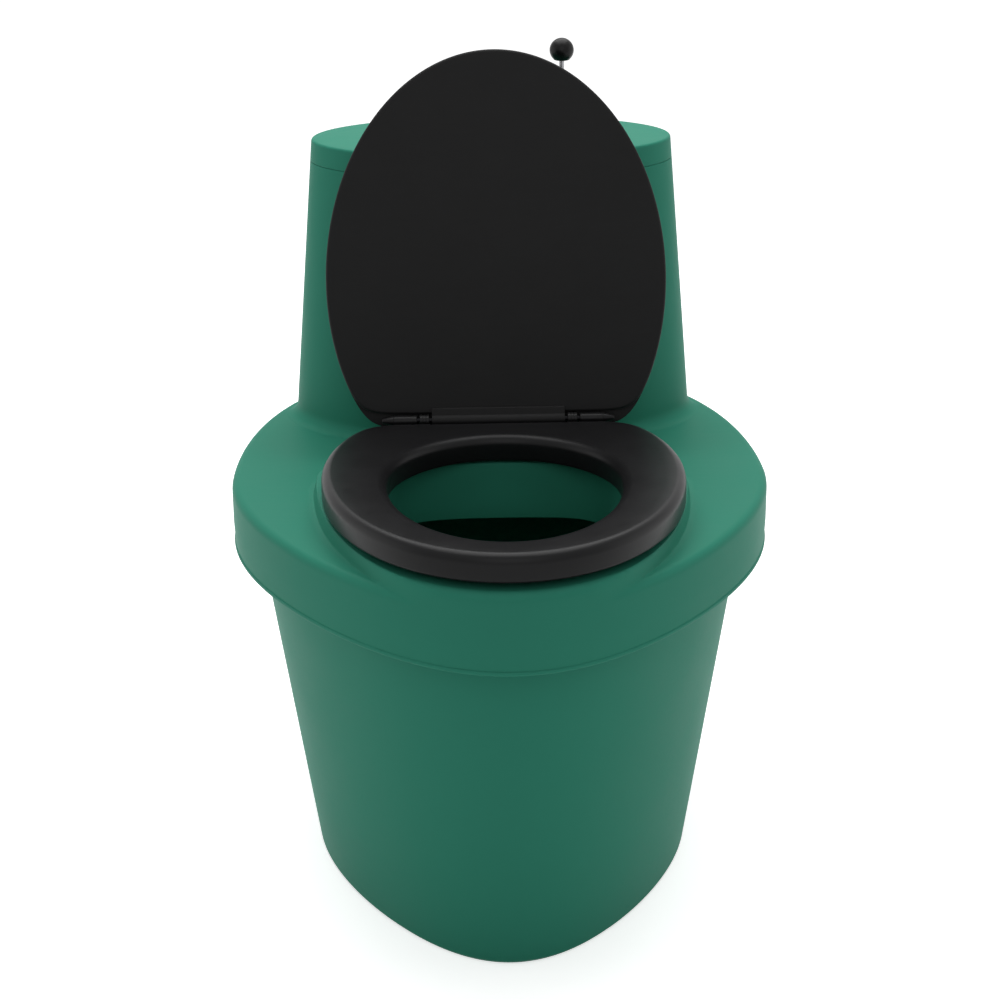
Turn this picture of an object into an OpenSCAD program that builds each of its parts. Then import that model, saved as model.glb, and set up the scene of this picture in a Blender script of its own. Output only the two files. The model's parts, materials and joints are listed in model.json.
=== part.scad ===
// Composting toilet with a litter hopper: a tapered oval container, a lift-off cover that
// carries the seat and the hopper, and a lever-worked litter doser inside the hopper.
// Millimetres, +Z up, the front faces -Y, origin at the middle of the base on the floor.

/* [Container] */
// Width of the container at the floor
tub_base_w = 430; // [404:2:454]
// Length of the container at the floor
tub_base_len = 658; // [626:2:686]
// Width of the container at its rim
tub_rim_w = 560; // [540:2:566]
// Length of the container at its rim
tub_rim_len = 744; // [720:2:752]
// Height of the rim above the floor
tub_h = 430; // [400:2:450]
// Wall thickness of the container
tub_wall = 6; // [4:0.5:8]
// Thickness of the rubber seal on the rim
seal_t = 8; // [5:0.5:12]
// Height of the strainer plate above the container's floor
strainer_h = 64; // [50:2:90]
// Thickness of the filter mat on the strainer
mat_t = 6; // [3:1:10]
// Height of the drain outlet's axis
drain_z = 40; // [38:1:46]
// Outer radius of the drain's hose tail
drain_tail_r = 9.5; // [7:0.5:9.5]
// Height of the vent outlet's axis
vent_z = 296; // [270:2:300]
// Outer radius of the vent collar
vent_r = 37.5; // [30:0.5:38]

/* [Cover] */
// Width of the cover
cover_w = 600; // [592:2:640]
// Reach of the cover in front of the origin
cover_front = 399; // [396:1:420]
// Reach of the cover behind the origin
cover_rear = 396; // [392:1:420]
// Height of the cover's skirt
skirt_h = 73; // [60:1:85]
// Wall thickness of the cover
cover_wall = 5; // [4:0.5:6]
// Radius of the cover's top edge
cover_edge_r = 10; // [8:0.5:12]
// Rise of the seat plinth above the cover
plinth_h = 15; // [12:0.5:20]

/* [Hopper] */
// Width of the hopper column at its foot
column_base_w = 474; // [460:2:490]
// Depth of the hopper column at its foot
column_base_d = 282; // [270:2:290]
// Width of the hopper column at its top
column_top_w = 418; // [400:2:430]
// Depth of the hopper column at its top
column_top_d = 226; // [216:2:236]
// Distance of the hopper's middle behind the origin
column_y = 217; // [213:1:220]
// Height of the hopper above the cover
column_h = 333; // [310:1:350]
// Height of the hopper lid
hopper_lid_h = 25; // [20:1:32]

/* [Seat] */
// Width of the seat ring
seat_w = 388; // [370:2:396]
// Distance from the seat's widest place to its front
seat_front = 256; // [245:1:260]
// Thickness of the seat ring
seat_t = 30; // [26:1:34]
// Width of the seat's opening
opening_w = 248; // [230:2:256]
// Length of the seat's opening
opening_len = 305; // [290:1:308]
// Thickness of the seat lid
lid_t = 12.5; // [10:0.5:15]
// Distance between the two hinge posts
post_gap = 167; // [160:1:175]

/* [Doser] */
// Sideways place of the dosing lever
lever_x = 82; // [60:1:84]
// Length of the lever from the shaft to the ball's middle
lever_len = 374; // [350:1:400]
// Swing of the lever to each side
lever_swing = 11; // [8:1:12]
// Radius of the ball knob
ball_r = 14; // [12:0.5:17]
// Inner radius of the dosing trough
trough_r = 75; // [70:1:78]

/* [Fits] */
// Radial clearance of running fits
run_fit = 0.05; // [0.02:0.01:0.1]
// Clearance between pieces that slide past each other loosely
loose = 0.5; // [0.4:0.1:0.8]

/* [Hidden] */

green = "#1f7d5f";
black = "#1c1c1e";
steel = "#b9bcc0";
sides = 64; // points round each oval, the fixings count along them
$fn = 48;
far = 1000; // past every face of the model
sink = 0.5; // how far a joined shape runs into its neighbour

// heights
cover_z = tub_h + seal_t + cover_wall; // top face of the cover
skirt_z = cover_z - skirt_h;
plinth_z = cover_z + plinth_h;
bumper_h = 7;
seat_z = plinth_z + bumper_h; // underside of the seat ring
seat_top_z = seat_z + seat_t;
hopper_z = cover_z + column_h; // top of the hopper lid
bin_flange = 2.5;
seam_gap = 0.3; // between the hopper lid and the column
rim_edge = 2; // wall left outside the rebate that the bin's flange lies in
rim_z = hopper_z - hopper_lid_h - seam_gap; // top edge of the column

// ovals: [middle y, half width, front reach, rear reach, front taper, rear taper, back limit]
tub_taper = 0.03;
plinth_oval = [-60, 207, 345, 110, 0, 0, far];
cover_oval = [0, cover_w / 2, cover_front, cover_rear, tub_taper, -0.02, far];
seat_y = -135;
hinge_y = 21;
hinge_gap = 7.5; // from the hinge axis to the seat's back edge
seat_oval = [seat_y, seat_w / 2, seat_front, 290, 0, 0, hinge_y - seat_y - hinge_gap];
opening_y = -165;
opening_rear = 127;
opening_oval = [opening_y, opening_w / 2, opening_len - opening_rear, opening_rear, 0, 0, far];
chute_oval = [opening_y, opening_w / 2, opening_len - opening_rear, opening_rear, 0, -0.1, far];
lid_oval = [seat_y, seat_w / 2 - 3, seat_front - 0.5, 246, 0, 0, hinge_y - seat_y - hinge_gap + 0.5];

// hinge
hinge_z = seat_top_z - 1.5;
barrel_r = 6;
ring_r = 6.75;
ring_w = 10.4;
pin_r = 3;
barrel_in = post_gap / 2 + 8.5; // inner end of the seat's barrels
barrel_out = barrel_in + 26;
cap_len = 13;
block_x = post_gap / 2 - 8.5; // half length of the lid's hinge block
block_reach = 14;
plug_len = 4;
stud_r = 4;
washer_t = 1.5;
lid_lift = 1.8; // the lid's underside above the hinge axis when it is closed
rest_gap = 1.2; // between the open lid and the corner of the hopper lid
lean_y = column_y - column_top_d / 2 - hinge_y;
lean_z = hopper_z - hinge_z;
lid_back = lid_lift + lid_t + rest_gap;
lid_lean = atan2(lean_y, lean_z) - asin(lid_back / norm([lean_y, lean_z]));

// doser
shaft_z = cover_z + 57;
shaft_r = 6;
bin_clear = 2; // between the bin and the column
bin_wall = 3;
trough_x = 115; // half length of the trough inside
trough_wall = 4;
gate_t = 3;
gate_r = trough_r - 0.7;
slot_x = 90;
slot_angle = 8;
slot_half = trough_r * sin(slot_angle);
gate_angle = 9.5;
gate_x = 95;
clip_t = 1.5;
bush_r = 9;
bush_flange = 2;
hub_r = 13;
hub_w = 16;
rod_r = 3;
rod_foot = 10; // lower end of the rod above the shaft's axis
hub_h = 26;

function mix(a, b, k) = a + (b - a) * k;

// eases v towards limit so that the outline turns a soft corner there
function soft_min(v, limit, corner = 14) = -corner * ln(exp(-v / corner) + exp(-limit / corner));

// points round an oval, counter-clockwise from +X, drawn out sideways by grow
function oval(o, grow = 0) = [
    for (i = [0 : sides - 1])
        let (t = 360 * i / sides, ahead = i > sides / 2, taper = ahead ? o[4] : o[5])
        let (reach = (ahead ? o[2] : o[3]) + grow)
        [
            (o[1] + grow) * ((1 - taper) * cos(t) + taper * cos(3 * t)),
            o[0] + soft_min(reach * ((1 - taper) * sin(t) - taper * sin(3 * t)), o[6] + grow)
        ]
];

// points round a rectangle, in the same directions as the points of an oval
function box_ring(y, half_x, half_y) = [
    for (i = [0 : sides - 1])
        let (t = 360 * i / sides, s = 1 / max(abs(cos(t)) / half_x, abs(sin(t)) / half_y))
        [s * cos(t), y + s * sin(t)]
];

function lift(points, z) = [for (p = points) [p[0], p[1], z]];

// how far a fillet of radius r stands out at height h above its foot
function fillet(r, h) = r - sqrt(r * r - (r - h) * (r - h));

// outlines that change with height
function tub_oval(z) =
    let (w = mix(tub_base_w, tub_rim_w, z / tub_h) / 2)
    let (reach = mix(tub_base_len, tub_rim_len, z / tub_h) / 2)
    [0, w, reach, reach, tub_taper, 0, far];
function column_oval(z) =
    let (k = (z - cover_z) / column_h)
    let (w = mix(column_base_w, column_top_w, k) / 2)
    let (reach = mix(column_base_d, column_top_d, k) / 2)
    [column_y, w, reach, reach, 0, 0, far];
function tub_rear(z) = tub_oval(z)[3];

// middle of a ring of points
function middle(ring) = [for (k = [0 : 2]) [for (p = ring) p[k]] * [for (p = ring) 1] / len(ring)];

// one closed solid through a stack of rings that hold the same number of points
module loft(rings) {
    n = len(rings[0]);
    m = len(rings);
    walls = [
        for (k = [0 : m - 2], i = [0 : n - 1])
            [k * n + i, (k + 1) * n + i, (k + 1) * n + (i + 1) % n, k * n + (i + 1) % n]
    ];
    floor_fan = [for (i = [0 : n - 1]) [m * n, i, (i + 1) % n]];
    roof_fan = [for (i = [0 : n - 1]) [m * n + 1, (m - 1) * n + (i + 1) % n, (m - 1) * n + i]];
    polyhedron(
        points = [for (r = rings) each r, middle(rings[0]), middle(rings[m - 1])],
        faces = concat(walls, floor_fan, roof_fan)
    );
}

// one closed hoop: sections is a list of rings that run round the hoop, joined in a loop
module hoop(sections) {
    n = len(sections[0]);
    m = len(sections);
    faces = [
        for (k = [0 : m - 1], i = [0 : n - 1])
            [k * n + (i + 1) % n, ((k + 1) % m) * n + (i + 1) % n, ((k + 1) % m) * n + i, k * n + i]
    ];
    polyhedron(points = [for (s = sections) each s], faces = faces);
}

module oval_prism(o, low, high, grow = 0) {
    translate([0, 0, low])
        linear_extrude(high - low)
            polygon(oval(o, grow));
}

module oval_band(o, low, high, outer, inner) {
    difference() {
        oval_prism(o, low, high, outer);
        oval_prism(o, low - 1, high + 1, inner);
    }
}

// cylinder along +X from x0 to x1, and along +Y from y0 to y1
module rod_x(x0, x1, r, y = 0, z = 0) {
    translate([x0, y, z])
        rotate([0, 90, 0])
            cylinder(h = x1 - x0, r = r);
}

module rod_y(y0, y1, r, x = 0, z = 0) {
    translate([x, y0, z])
        rotate([-90, 0, 0])
            cylinder(h = y1 - y0, r = r);
}

module both_sides() {
    children();
    mirror([1, 0, 0])
        children();
}

// solid between two planes of x, from a side view drawn in y and z
module side_view(x0, x1, points) {
    translate([x0, 0, 0])
        rotate([90, 0, 90])
            linear_extrude(x1 - x0)
                polygon(points);
}

// pan-head screw with its head above z = 0 and its shank below
module screw(head_r, head_h, shank_r, shank_len) {
    cylinder(h = head_h, r = head_r);
    translate([0, 0, -shank_len])
        cylinder(h = shank_len + sink, r = shank_r);
}

// ---- container ----

vent_boss_r = vent_r + 14;
vent_face = tub_rear(vent_z + vent_boss_r) + 2;
vent_screw_r = vent_r + 7;
drain_boss_r = 26;
drain_face = tub_rear(drain_z + drain_boss_r) + 2;
drain_inner = tub_rear(drain_z - drain_boss_r) - tub_wall - 2;
drain_body_r = drain_tail_r + 1.5;
gasket_t = 2;
flange_t = 4;

module container() {
    edge = 4;
    lip = 6;
    color(green)
        difference() {
            union() {
                difference() {
                    union() {
                        loft([lift(oval(tub_oval(0), -edge), 0), lift(oval(tub_oval(edge)), edge),
                            lift(oval(tub_oval(tub_h)), tub_h)]);
                        oval_prism(tub_oval(tub_h), tub_h - lip, tub_h, lip);
                        rod_y(tub_rear(vent_z) - 30, vent_face, vent_boss_r, z = vent_z);
                        rod_y(tub_rear(drain_z) - 20, drain_face, drain_boss_r, z = drain_z);
                    }
                    loft([lift(oval(tub_oval(tub_wall), -tub_wall), tub_wall),
                        lift(oval(tub_oval(tub_h + 1), -tub_wall), tub_h + 1)]);
                }
                rod_y(drain_inner, drain_face - 1, drain_boss_r - 2, z = drain_z);
            }
            rod_y(tub_rear(vent_z) - 60, far, vent_r + loose, z = vent_z);
            rod_y(tub_rear(drain_z) - 60, far, drain_body_r + loose, z = drain_z);
            vent_screw_places()
                rod_y(vent_face - 9, far, 2 + run_fit);
        }
}

module strainer() {
    plate = 5;
    pitch = 44;
    hole_r = 5;
    leg_r = 11;
    low = tub_wall + strainer_h - plate;
    plate_oval = tub_oval(low);
    edge = tub_wall + 3;
    half_x = plate_oval[1] - edge;
    half_y = plate_oval[2] - edge;
    columns = ceil(half_x / pitch);
    rows = ceil(half_y / pitch);
    color("#3a3d40")
        difference() {
            union() {
                oval_prism(plate_oval, low, low + plate, -edge);
                for (x = [-2, 0, 2], y = [-4, 0, 4])
                    if (x == 0 || abs(y) < 4)
                        translate([x * pitch * 0.75 + pitch / 2 * sign(x), y * pitch * 1.3, tub_wall])
                            cylinder(h = low - tub_wall + sink, r = leg_r);
            }
            for (i = [-columns : columns], j = [-rows : rows])
                let (x = (i + 0.5) * pitch, y = (j + 0.5) * pitch)
                if (norm([x / (half_x - 14), y / (half_y - 14)]) < 0.92)
                    translate([x, y, low - 1])
                        cylinder(h = plate + 2, r = hole_r);
        }
}

module filter_mat() {
    low = tub_wall + strainer_h;
    color("#8c8a80")
        oval_prism(tub_oval(low), low, low + mat_t, -tub_wall - 5);
}

module rim_seal() {
    color(black)
        oval_band(tub_oval(tub_h), tub_h, tub_h + seal_t, 5, -tub_wall);
}

module drain_spigot() {
    tail = 38;
    lead = 5; // tapered end that the hose starts over
    face = drain_face + gasket_t;
    end = face + flange_t + tail;
    color(black)
        difference() {
            union() {
                rod_y(drain_inner - 14, face + sink, drain_body_r, z = drain_z);
                rod_y(face, face + flange_t, drain_boss_r - 4, z = drain_z);
                rod_y(face + flange_t - sink, end - lead, drain_tail_r, z = drain_z);
                translate([0, end - lead, drain_z])
                    rotate([-90, 0, 0])
                        cylinder(h = lead, r1 = drain_tail_r, r2 = drain_tail_r - 0.8);
            }
            rod_y(drain_inner - 20, far, drain_tail_r - 2.5, z = drain_z);
        }
}

module drain_gasket() {
    color("#2b2b2b")
        difference() {
            rod_y(drain_face, drain_face + gasket_t, drain_boss_r - 3, z = drain_z);
            rod_y(drain_face - 1, drain_face + gasket_t + 1, drain_body_r + loose, z = drain_z);
        }
}

module drain_nut() {
    nut_h = 9;
    color(black)
        difference() {
            translate([0, drain_inner - nut_h, drain_z])
                rotate([-90, 0, 0])
                    cylinder(h = nut_h, r = drain_body_r + 8, $fn = 6);
            rod_y(drain_inner - nut_h - 1, drain_inner + 1, drain_body_r + run_fit, z = drain_z);
        }
}

module vent_screw_places() {
    for (a = [45 : 90 : 315])
        translate([vent_screw_r * cos(a), 0, vent_z + vent_screw_r * sin(a)])
            children();
}

module vent_collar() {
    face = vent_face + gasket_t;
    wall = 2.5;
    outside = 45;
    color(black)
        difference() {
            union() {
                rod_y(tub_rear(vent_z) - 22, face + flange_t + outside, vent_r, z = vent_z);
                rod_y(face, face + flange_t, vent_boss_r - 1, z = vent_z);
            }
            rod_y(0, far, vent_r - wall, z = vent_z);
            vent_screw_places()
                rod_y(face - 1, far, 2 + loose);
        }
}

module vent_gasket() {
    color("#2b2b2b")
        difference() {
            rod_y(vent_face, vent_face + gasket_t, vent_boss_r - 1, z = vent_z);
            rod_y(vent_face - 1, vent_face + gasket_t + 1, vent_r + loose, z = vent_z);
            vent_screw_places()
                rod_y(vent_face - 1, far, 2 + loose);
        }
}

module vent_screws() {
    color(steel)
        vent_screw_places()
            translate([0, vent_face + gasket_t + flange_t, 0])
                rotate([-90, 0, 0])
                    screw(4, 2.4, 2, flange_t + gasket_t + 8);
}

// ---- cover ----

function rounded(o, low, high, r) = [
    lift(oval(o), low),
    for (k = [0 : 3])
        lift(oval(o, -r * (1 - cos(30 * k))), high - r + r * sin(30 * k))
];

chute_wall = 3;
chute_grow = 4; // the chute's mouth outside the seat's opening
stud_fit = 0.3;
floor_hole_y = sqrt(pow(trough_r + trough_wall, 2) - pow(shaft_z - cover_z, 2)) + 3;
floor_hole_x = trough_x + trough_wall + 3;

module column_body(low, foot) {
    loft([
        lift(oval(column_oval(cover_z), foot), low),
        for (k = [0, 0.12, 0.35, 0.65])
            lift(oval(column_oval(cover_z), fillet(foot, foot * k)), cover_z + foot * k),
        lift(oval(column_oval(cover_z + foot)), cover_z + foot),
        lift(oval(column_oval(rim_z)), rim_z)
    ]);
}

module plinth_body() {
    foot = 9;
    low = cover_z - cover_edge_r;
    intersection() {
        loft([
            lift(oval(plinth_oval, foot), low),
            lift(oval(plinth_oval, foot), cover_z),
            lift(oval(plinth_oval, foot / 3), cover_z + foot / 3),
            lift(oval(plinth_oval), cover_z + foot),
            lift(oval(plinth_oval, -1.5), plinth_z - 2),
            lift(oval(plinth_oval, -6), plinth_z)
        ]);
        loft(rounded(cover_oval, low, plinth_z, cover_edge_r));
    }
}

module post_places() {
    for (side = [-1, 1])
        translate([side * post_gap / 2, hinge_y, 0])
            children();
}

module chute_screw_places() {
    ring = oval(chute_oval, chute_grow + chute_wall + 6);
    for (k = [7, 25, 39, 57])
        translate(ring[k])
            children();
}

module deflector_screw_places() {
    for (x = [-1, 1], y = [-1, 1])
        translate([x * (floor_hole_x + 8), column_y + y * floor_hole_y * 0.7, 0])
            children();
}

module cover() {
    color(green)
        difference() {
            union() {
                loft(rounded(cover_oval, skirt_z, cover_z, cover_edge_r));
                plinth_body();
                intersection() {
                    column_body(cover_z - 3, 14);
                    oval_prism(cover_oval, cover_z - 3, far, -cover_edge_r / 3);
                }
            }
            oval_prism(cover_oval, skirt_z - 1, cover_z - cover_wall, -cover_wall);
            intersection() {
                oval_prism(plinth_oval, cover_z - far, plinth_z - cover_wall, -cover_wall - 3);
                oval_prism(tub_oval(tub_h), 0, far, -tub_wall - 8);
            }
            loft([lift(oval(column_oval(cover_z), -cover_wall), cover_z),
                lift(oval(column_oval(rim_z + 1), -cover_wall), rim_z + 1)]);
            oval_prism(column_oval(rim_z), rim_z - bin_flange, rim_z + 1, -rim_edge);
            translate([-floor_hole_x, column_y - floor_hole_y, cover_z - far])
                cube([2 * floor_hole_x, 2 * floor_hole_y, far + 1]);
            oval_prism(chute_oval, 0, plinth_z + 1, chute_grow + chute_wall + loose);
            post_places()
                cylinder(h = plinth_z + 1, r = stud_r + stud_fit);
            chute_screw_places()
                cylinder(h = plinth_z + 1, r = 2 + run_fit);
            deflector_screw_places()
                cylinder(h = cover_z + 1, r = 2 + run_fit);
        }
}

chute_flange = 3;
chute_flange_w = 12;
chute_drop = 61; // from the plinth's top to the chute's lower edge

module chute() {
    top = plinth_z + chute_flange;
    bottom = plinth_z - chute_drop;
    color(green)
        difference() {
            union() {
                oval_prism(chute_oval, plinth_z, top, chute_grow + chute_wall + chute_flange_w);
                loft([lift(oval(chute_oval, chute_wall - 2), bottom),
                    lift(oval(chute_oval, chute_grow + chute_wall), plinth_z + sink)]);
            }
            loft([lift(oval(chute_oval, -2.1), bottom - 1), lift(oval(chute_oval, chute_grow), top + 1)]);
            chute_screw_places()
                cylinder(h = far, r = 2 + loose);
        }
}

module chute_screws() {
    color(steel)
        chute_screw_places()
            translate([0, 0, plinth_z + chute_flange])
                screw(4, 2, 2, chute_flange + cover_wall);
}

// ---- hopper and doser ----

module litter_bin() {
    mouth = column_oval(rim_z);
    low = [column_y, mouth[1] - 22, mouth[2] - 20, mouth[3] - 20, 0, 0, far];
    out = -cover_wall - bin_clear;
    turn_z = shaft_z + 75;
    box_z = shaft_z + 18;
    sill_z = shaft_z - 20;
    end_x = trough_x + trough_wall;
    color("#26282a")
        difference() {
            union() {
                oval_prism(mouth, rim_z - bin_flange, rim_z, -rim_edge - seam_gap);
                loft([
                    lift(box_ring(column_y, end_x, trough_r + trough_wall + 1), sill_z),
                    lift(box_ring(column_y, end_x, trough_r + trough_wall + 1), box_z),
                    lift(oval(low), turn_z),
                    lift(oval(mouth, out), rim_z - sink)
                ]);
                rod_x(1 - end_x, end_x - 1, trough_r + trough_wall, column_y, shaft_z);
            }
            loft([
                lift(box_ring(column_y, trough_x, trough_r - 1), shaft_z - 15),
                lift(box_ring(column_y, trough_x, trough_r - 1), box_z),
                lift(oval(low, -bin_wall), turn_z),
                lift(oval(mouth, out - bin_wall), rim_z - bin_flange),
                lift(oval(mouth, out - bin_wall), rim_z + 1)
            ]);
            rod_x(1 - trough_x, trough_x - 1, trough_r, column_y, shaft_z);
            rod_x(-far / 2, far / 2, bush_r + run_fit, column_y, shaft_z);
            translate([-slot_x, column_y - slot_half, shaft_z - trough_r - 10])
                cube([2 * slot_x, 2 * slot_half, 20]);
        }
}

deflector_t = 3;
deflector_run = 118; // from its back to its lower edge
deflector_fall = 106; // from the cover's underside to its lower edge

module deflector() {
    t = deflector_t;
    top = cover_z - cover_wall;
    back = column_y + floor_hole_y;
    front = column_y - floor_hole_y;
    tip_y = back - deflector_run;
    tip_z = top - deflector_fall;
    out_x = floor_hole_x + t;
    color(black)
        difference() {
            union() {
                translate([-out_x - 12, front - 6, top - t])
                    cube([2 * (out_x + 12), back - front + 12, t]);
                side_view(-out_x, out_x, [[back, top - sink], [back + 2 * t, top - sink],
                    [back + 2 * t, top - t - 4], [tip_y + t, tip_z - t], [tip_y, tip_z]]);
                for (x = [-out_x, out_x - t])
                    side_view(x, x + t, [[back, top - sink], [tip_y, tip_z],
                        [tip_y - 14, tip_z + 24], [front, top - sink]]);
            }
            translate([-floor_hole_x, front, top - t - 1])
                cube([2 * floor_hole_x, back - front, t + 2]);
            deflector_screw_places()
                cylinder(h = far, r = 2 + loose);
        }
}

module deflector_screws() {
    color(steel)
        deflector_screw_places()
            translate([0, 0, cover_z - cover_wall - deflector_t])
                mirror([0, 0, 1])
                    screw(4, 2.4, 2, deflector_t + cover_wall);
}

module bush_left() {
    mirror([1, 0, 0])
        bush_right();
}

module bush_right() {
    outside = trough_x + trough_wall;
    color("#e8e6df")
        difference() {
            union() {
                rod_x(trough_x, outside + sink, bush_r, column_y, shaft_z);
                rod_x(outside, outside + bush_flange, bush_r + 3, column_y, shaft_z);
            }
            rod_x(trough_x - 1, outside + bush_flange + 1, shaft_r + run_fit, column_y, shaft_z);
        }
}

clip_x = trough_x + trough_wall + bush_flange + 0.5;
groove_r = shaft_r - 1;
gate_pin_x = gate_x + 7;
gate_pin_r = 1.5;

module dosing_shaft() {
    half = clip_x + clip_t + 3;
    color(steel)
        difference() {
            rod_x(-half, half, shaft_r, column_y, shaft_z);
            both_sides()
                difference() {
                    rod_x(clip_x, clip_x + clip_t, shaft_r + 1, column_y, shaft_z);
                    rod_x(clip_x - 1, clip_x + clip_t + 1, groove_r, column_y, shaft_z);
                }
            for (x = [-gate_pin_x, gate_pin_x])
                translate([x, column_y, shaft_z - far / 2])
                    cylinder(h = far, r = gate_pin_r + run_fit);
        }
}

module dosing_gate() {
    hub = shaft_r + 5;
    hub_len = 12;
    arm_t = 3;
    wedge = [[0, 0], [far * sin(gate_angle), -far * cos(gate_angle)],
        [-far * sin(gate_angle), -far * cos(gate_angle)]];
    color("#d9d4c5")
        translate([0, column_y, shaft_z])
            difference() {
                union() {
                    intersection() {
                        difference() {
                            rod_x(-gate_x - arm_t, gate_x + arm_t, gate_r);
                            rod_x(-gate_x, gate_x, gate_r - gate_t);
                        }
                        side_view(-far / 2, far / 2, wedge);
                    }
                    both_sides()
                        rod_x(gate_x, gate_x + hub_len, hub);
                }
                rod_x(-far / 2, far / 2, shaft_r + run_fit);
                for (x = [-gate_pin_x, gate_pin_x])
                    translate([x, 0, -hub - 1])
                        cylinder(h = 2 * hub + 2, r = gate_pin_r + run_fit);
            }
}

module gate_pins() {
    half = shaft_r + 5.5;
    color(steel)
        for (x = [-gate_pin_x, gate_pin_x])
            translate([x, column_y, shaft_z - half])
                cylinder(h = 2 * half, r = gate_pin_r);
}

module shaft_clips() {
    color(steel)
        both_sides()
            difference() {
                rod_x(clip_x, clip_x + clip_t, shaft_r + 3, column_y, shaft_z);
                rod_x(clip_x - 1, clip_x + clip_t + 1, groove_r + run_fit, column_y, shaft_z);
            }
}

hub_screw_r = 2.5;

module lever_hub() {
    color("#3a3d40")
        translate([lever_x, column_y, shaft_z])
            difference() {
                union() {
                    rod_x(-hub_w / 2, hub_w / 2, hub_r);
                    cylinder(h = hub_h, r = 8);
                }
                rod_x(-hub_w, hub_w, shaft_r + run_fit);
                translate([0, 0, rod_foot])
                    cylinder(h = hub_h, r = rod_r + run_fit);
                rod_y(0, hub_r + 1, hub_screw_r + run_fit);
            }
}

module hub_screw() {
    color(steel)
        rod_y(column_y + shaft_r, column_y + hub_r + 1, hub_screw_r, lever_x, shaft_z);
}

module lever_rod() {
    color(steel)
        translate([lever_x, column_y, shaft_z + rod_foot])
            cylinder(h = lever_len - rod_foot, r = rod_r);
}

module ball_knob() {
    flat = 0.82; // the flat underside, as a share of the ball's radius
    color("#0c0c0d")
        translate([lever_x, column_y, shaft_z + lever_len])
            difference() {
                sphere(r = ball_r);
                translate([-ball_r, -ball_r, -2 * ball_r - ball_r * flat])
                    cube(2 * ball_r);
                translate([0, 0, -ball_r - 1])
                    cylinder(h = ball_r + 1 + run_fit, r = rod_r + run_fit);
            }
}

module hopper_lid() {
    low = rim_z + seam_gap;
    wall = 4;
    lip = 12;
    lip_grow = -cover_wall - bin_clear - bin_wall - 4;
    edge = 3;
    travel = 30; // how far the lid slides up along the open seat lid
    reach = (hopper_z + travel - shaft_z) * tan(lever_swing) + travel * sin(lid_lean) + rod_r + 2;
    slot_w = 12;
    top = column_oval(hopper_z);
    color(green)
        difference() {
            union() {
                difference() {
                    loft([
                        lift(oval(column_oval(low)), low),
                        for (k = [0 : 2])
                            lift(oval(top, -edge * (1 - cos(35 * k))), hopper_z - edge + edge * sin(35 * k) / sin(70))
                    ]);
                    loft([lift(oval(column_oval(low), -wall), low - 1),
                        lift(oval(column_oval(hopper_z), -wall), hopper_z - wall)]);
                }
                oval_band(column_oval(rim_z), low - lip, hopper_z - wall + sink, lip_grow, lip_grow - 3);
            }
            translate([lever_x - slot_w / 2, column_y - reach, low - far])
                cube([slot_w, far, 2 * far]);
        }
}

// ---- seat ----

module hinge_post_right() {
    flange_z = plinth_z + washer_t;
    color(black)
        difference() {
            translate([post_gap / 2, hinge_y, 0]) {
                rod_x(-ring_w / 2, ring_w / 2, ring_r, 0, hinge_z);
                translate([0, 0, flange_z])
                    cylinder(h = hinge_z - pin_r - 1 - flange_z, r = 5);
                translate([0, 0, flange_z])
                    cylinder(h = 3, r = 12);
                translate([0, 0, plinth_z - 26])
                    cylinder(h = 26 + washer_t + sink, r = stud_r);
            }
            rod_x(0, far, pin_r + run_fit, hinge_y, hinge_z);
        }
}

module hinge_post_left() {
    mirror([1, 0, 0])
        hinge_post_right();
}

module post_washers() {
    color("#2b2b2b")
        post_places()
            translate([0, 0, plinth_z])
                difference() {
                    cylinder(h = washer_t, r = 13);
                    translate([0, 0, -1])
                        cylinder(h = washer_t + 2, r = stud_r + run_fit);
                }
}

module post_nuts() {
    nut_h = 8;
    color(steel)
        post_places()
            translate([0, 0, plinth_z - cover_wall - nut_h])
                difference() {
                    cylinder(h = nut_h, r = 9, $fn = 6);
                    translate([0, 0, -1])
                        cylinder(h = nut_h + 2, r = stud_r + run_fit);
                }
}

module hinge_pins() {
    color(steel)
        both_sides()
            rod_x(block_x - 18, barrel_out - plug_len - loose, pin_r, hinge_y, hinge_z);
}

module seat_ring() {
    top = seat_top_z;
    low = seat_z;
    color(black)
        difference() {
            union() {
                hoop([
                    lift(oval(opening_oval, 3), low),
                    lift(oval(opening_oval), low + 3),
                    lift(oval(opening_oval), top - 8),
                    lift(oval(opening_oval, 3), top - 4),
                    lift(oval(opening_oval, 9), top - 2),
                    lift(oval(seat_oval, -24), top - 1.2),
                    lift(oval(seat_oval, -9), top),
                    lift(oval(seat_oval, -3.5), top - 1.5),
                    lift(oval(seat_oval), top - 7),
                    lift(oval(seat_oval), low + 4),
                    lift(oval(seat_oval, -4), low)
                ]);
                both_sides() {
                    rod_x(barrel_in, barrel_out, barrel_r, hinge_y, hinge_z);
                    translate([barrel_in, hinge_y - 16, hinge_z - barrel_r])
                        cube([barrel_out - barrel_in, 16, barrel_r + 1]);
                }
            }
            both_sides()
                rod_x(barrel_in - 1, barrel_out + 1, pin_r + run_fit, hinge_y, hinge_z);
            translate([-block_x - 2, hinge_y - block_reach - 3.5, hinge_z - 8])
                cube([2 * block_x + 4, 30, 30]);
            bumper_places()
                cylinder(h = 6, r = 3 + run_fit);
        }
}

module bumper_places() {
    ring = oval(seat_oval, -24);
    for (k = [3, 29, 39, 57])
        translate([ring[k][0], ring[k][1], seat_z])
            children();
}

module seat_bumpers() {
    color("#2b2b2b")
        bumper_places() {
            translate([0, 0, -bumper_h])
                cylinder(h = bumper_h, r = 9);
            cylinder(h = 5, r = 3);
        }
}

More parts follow.
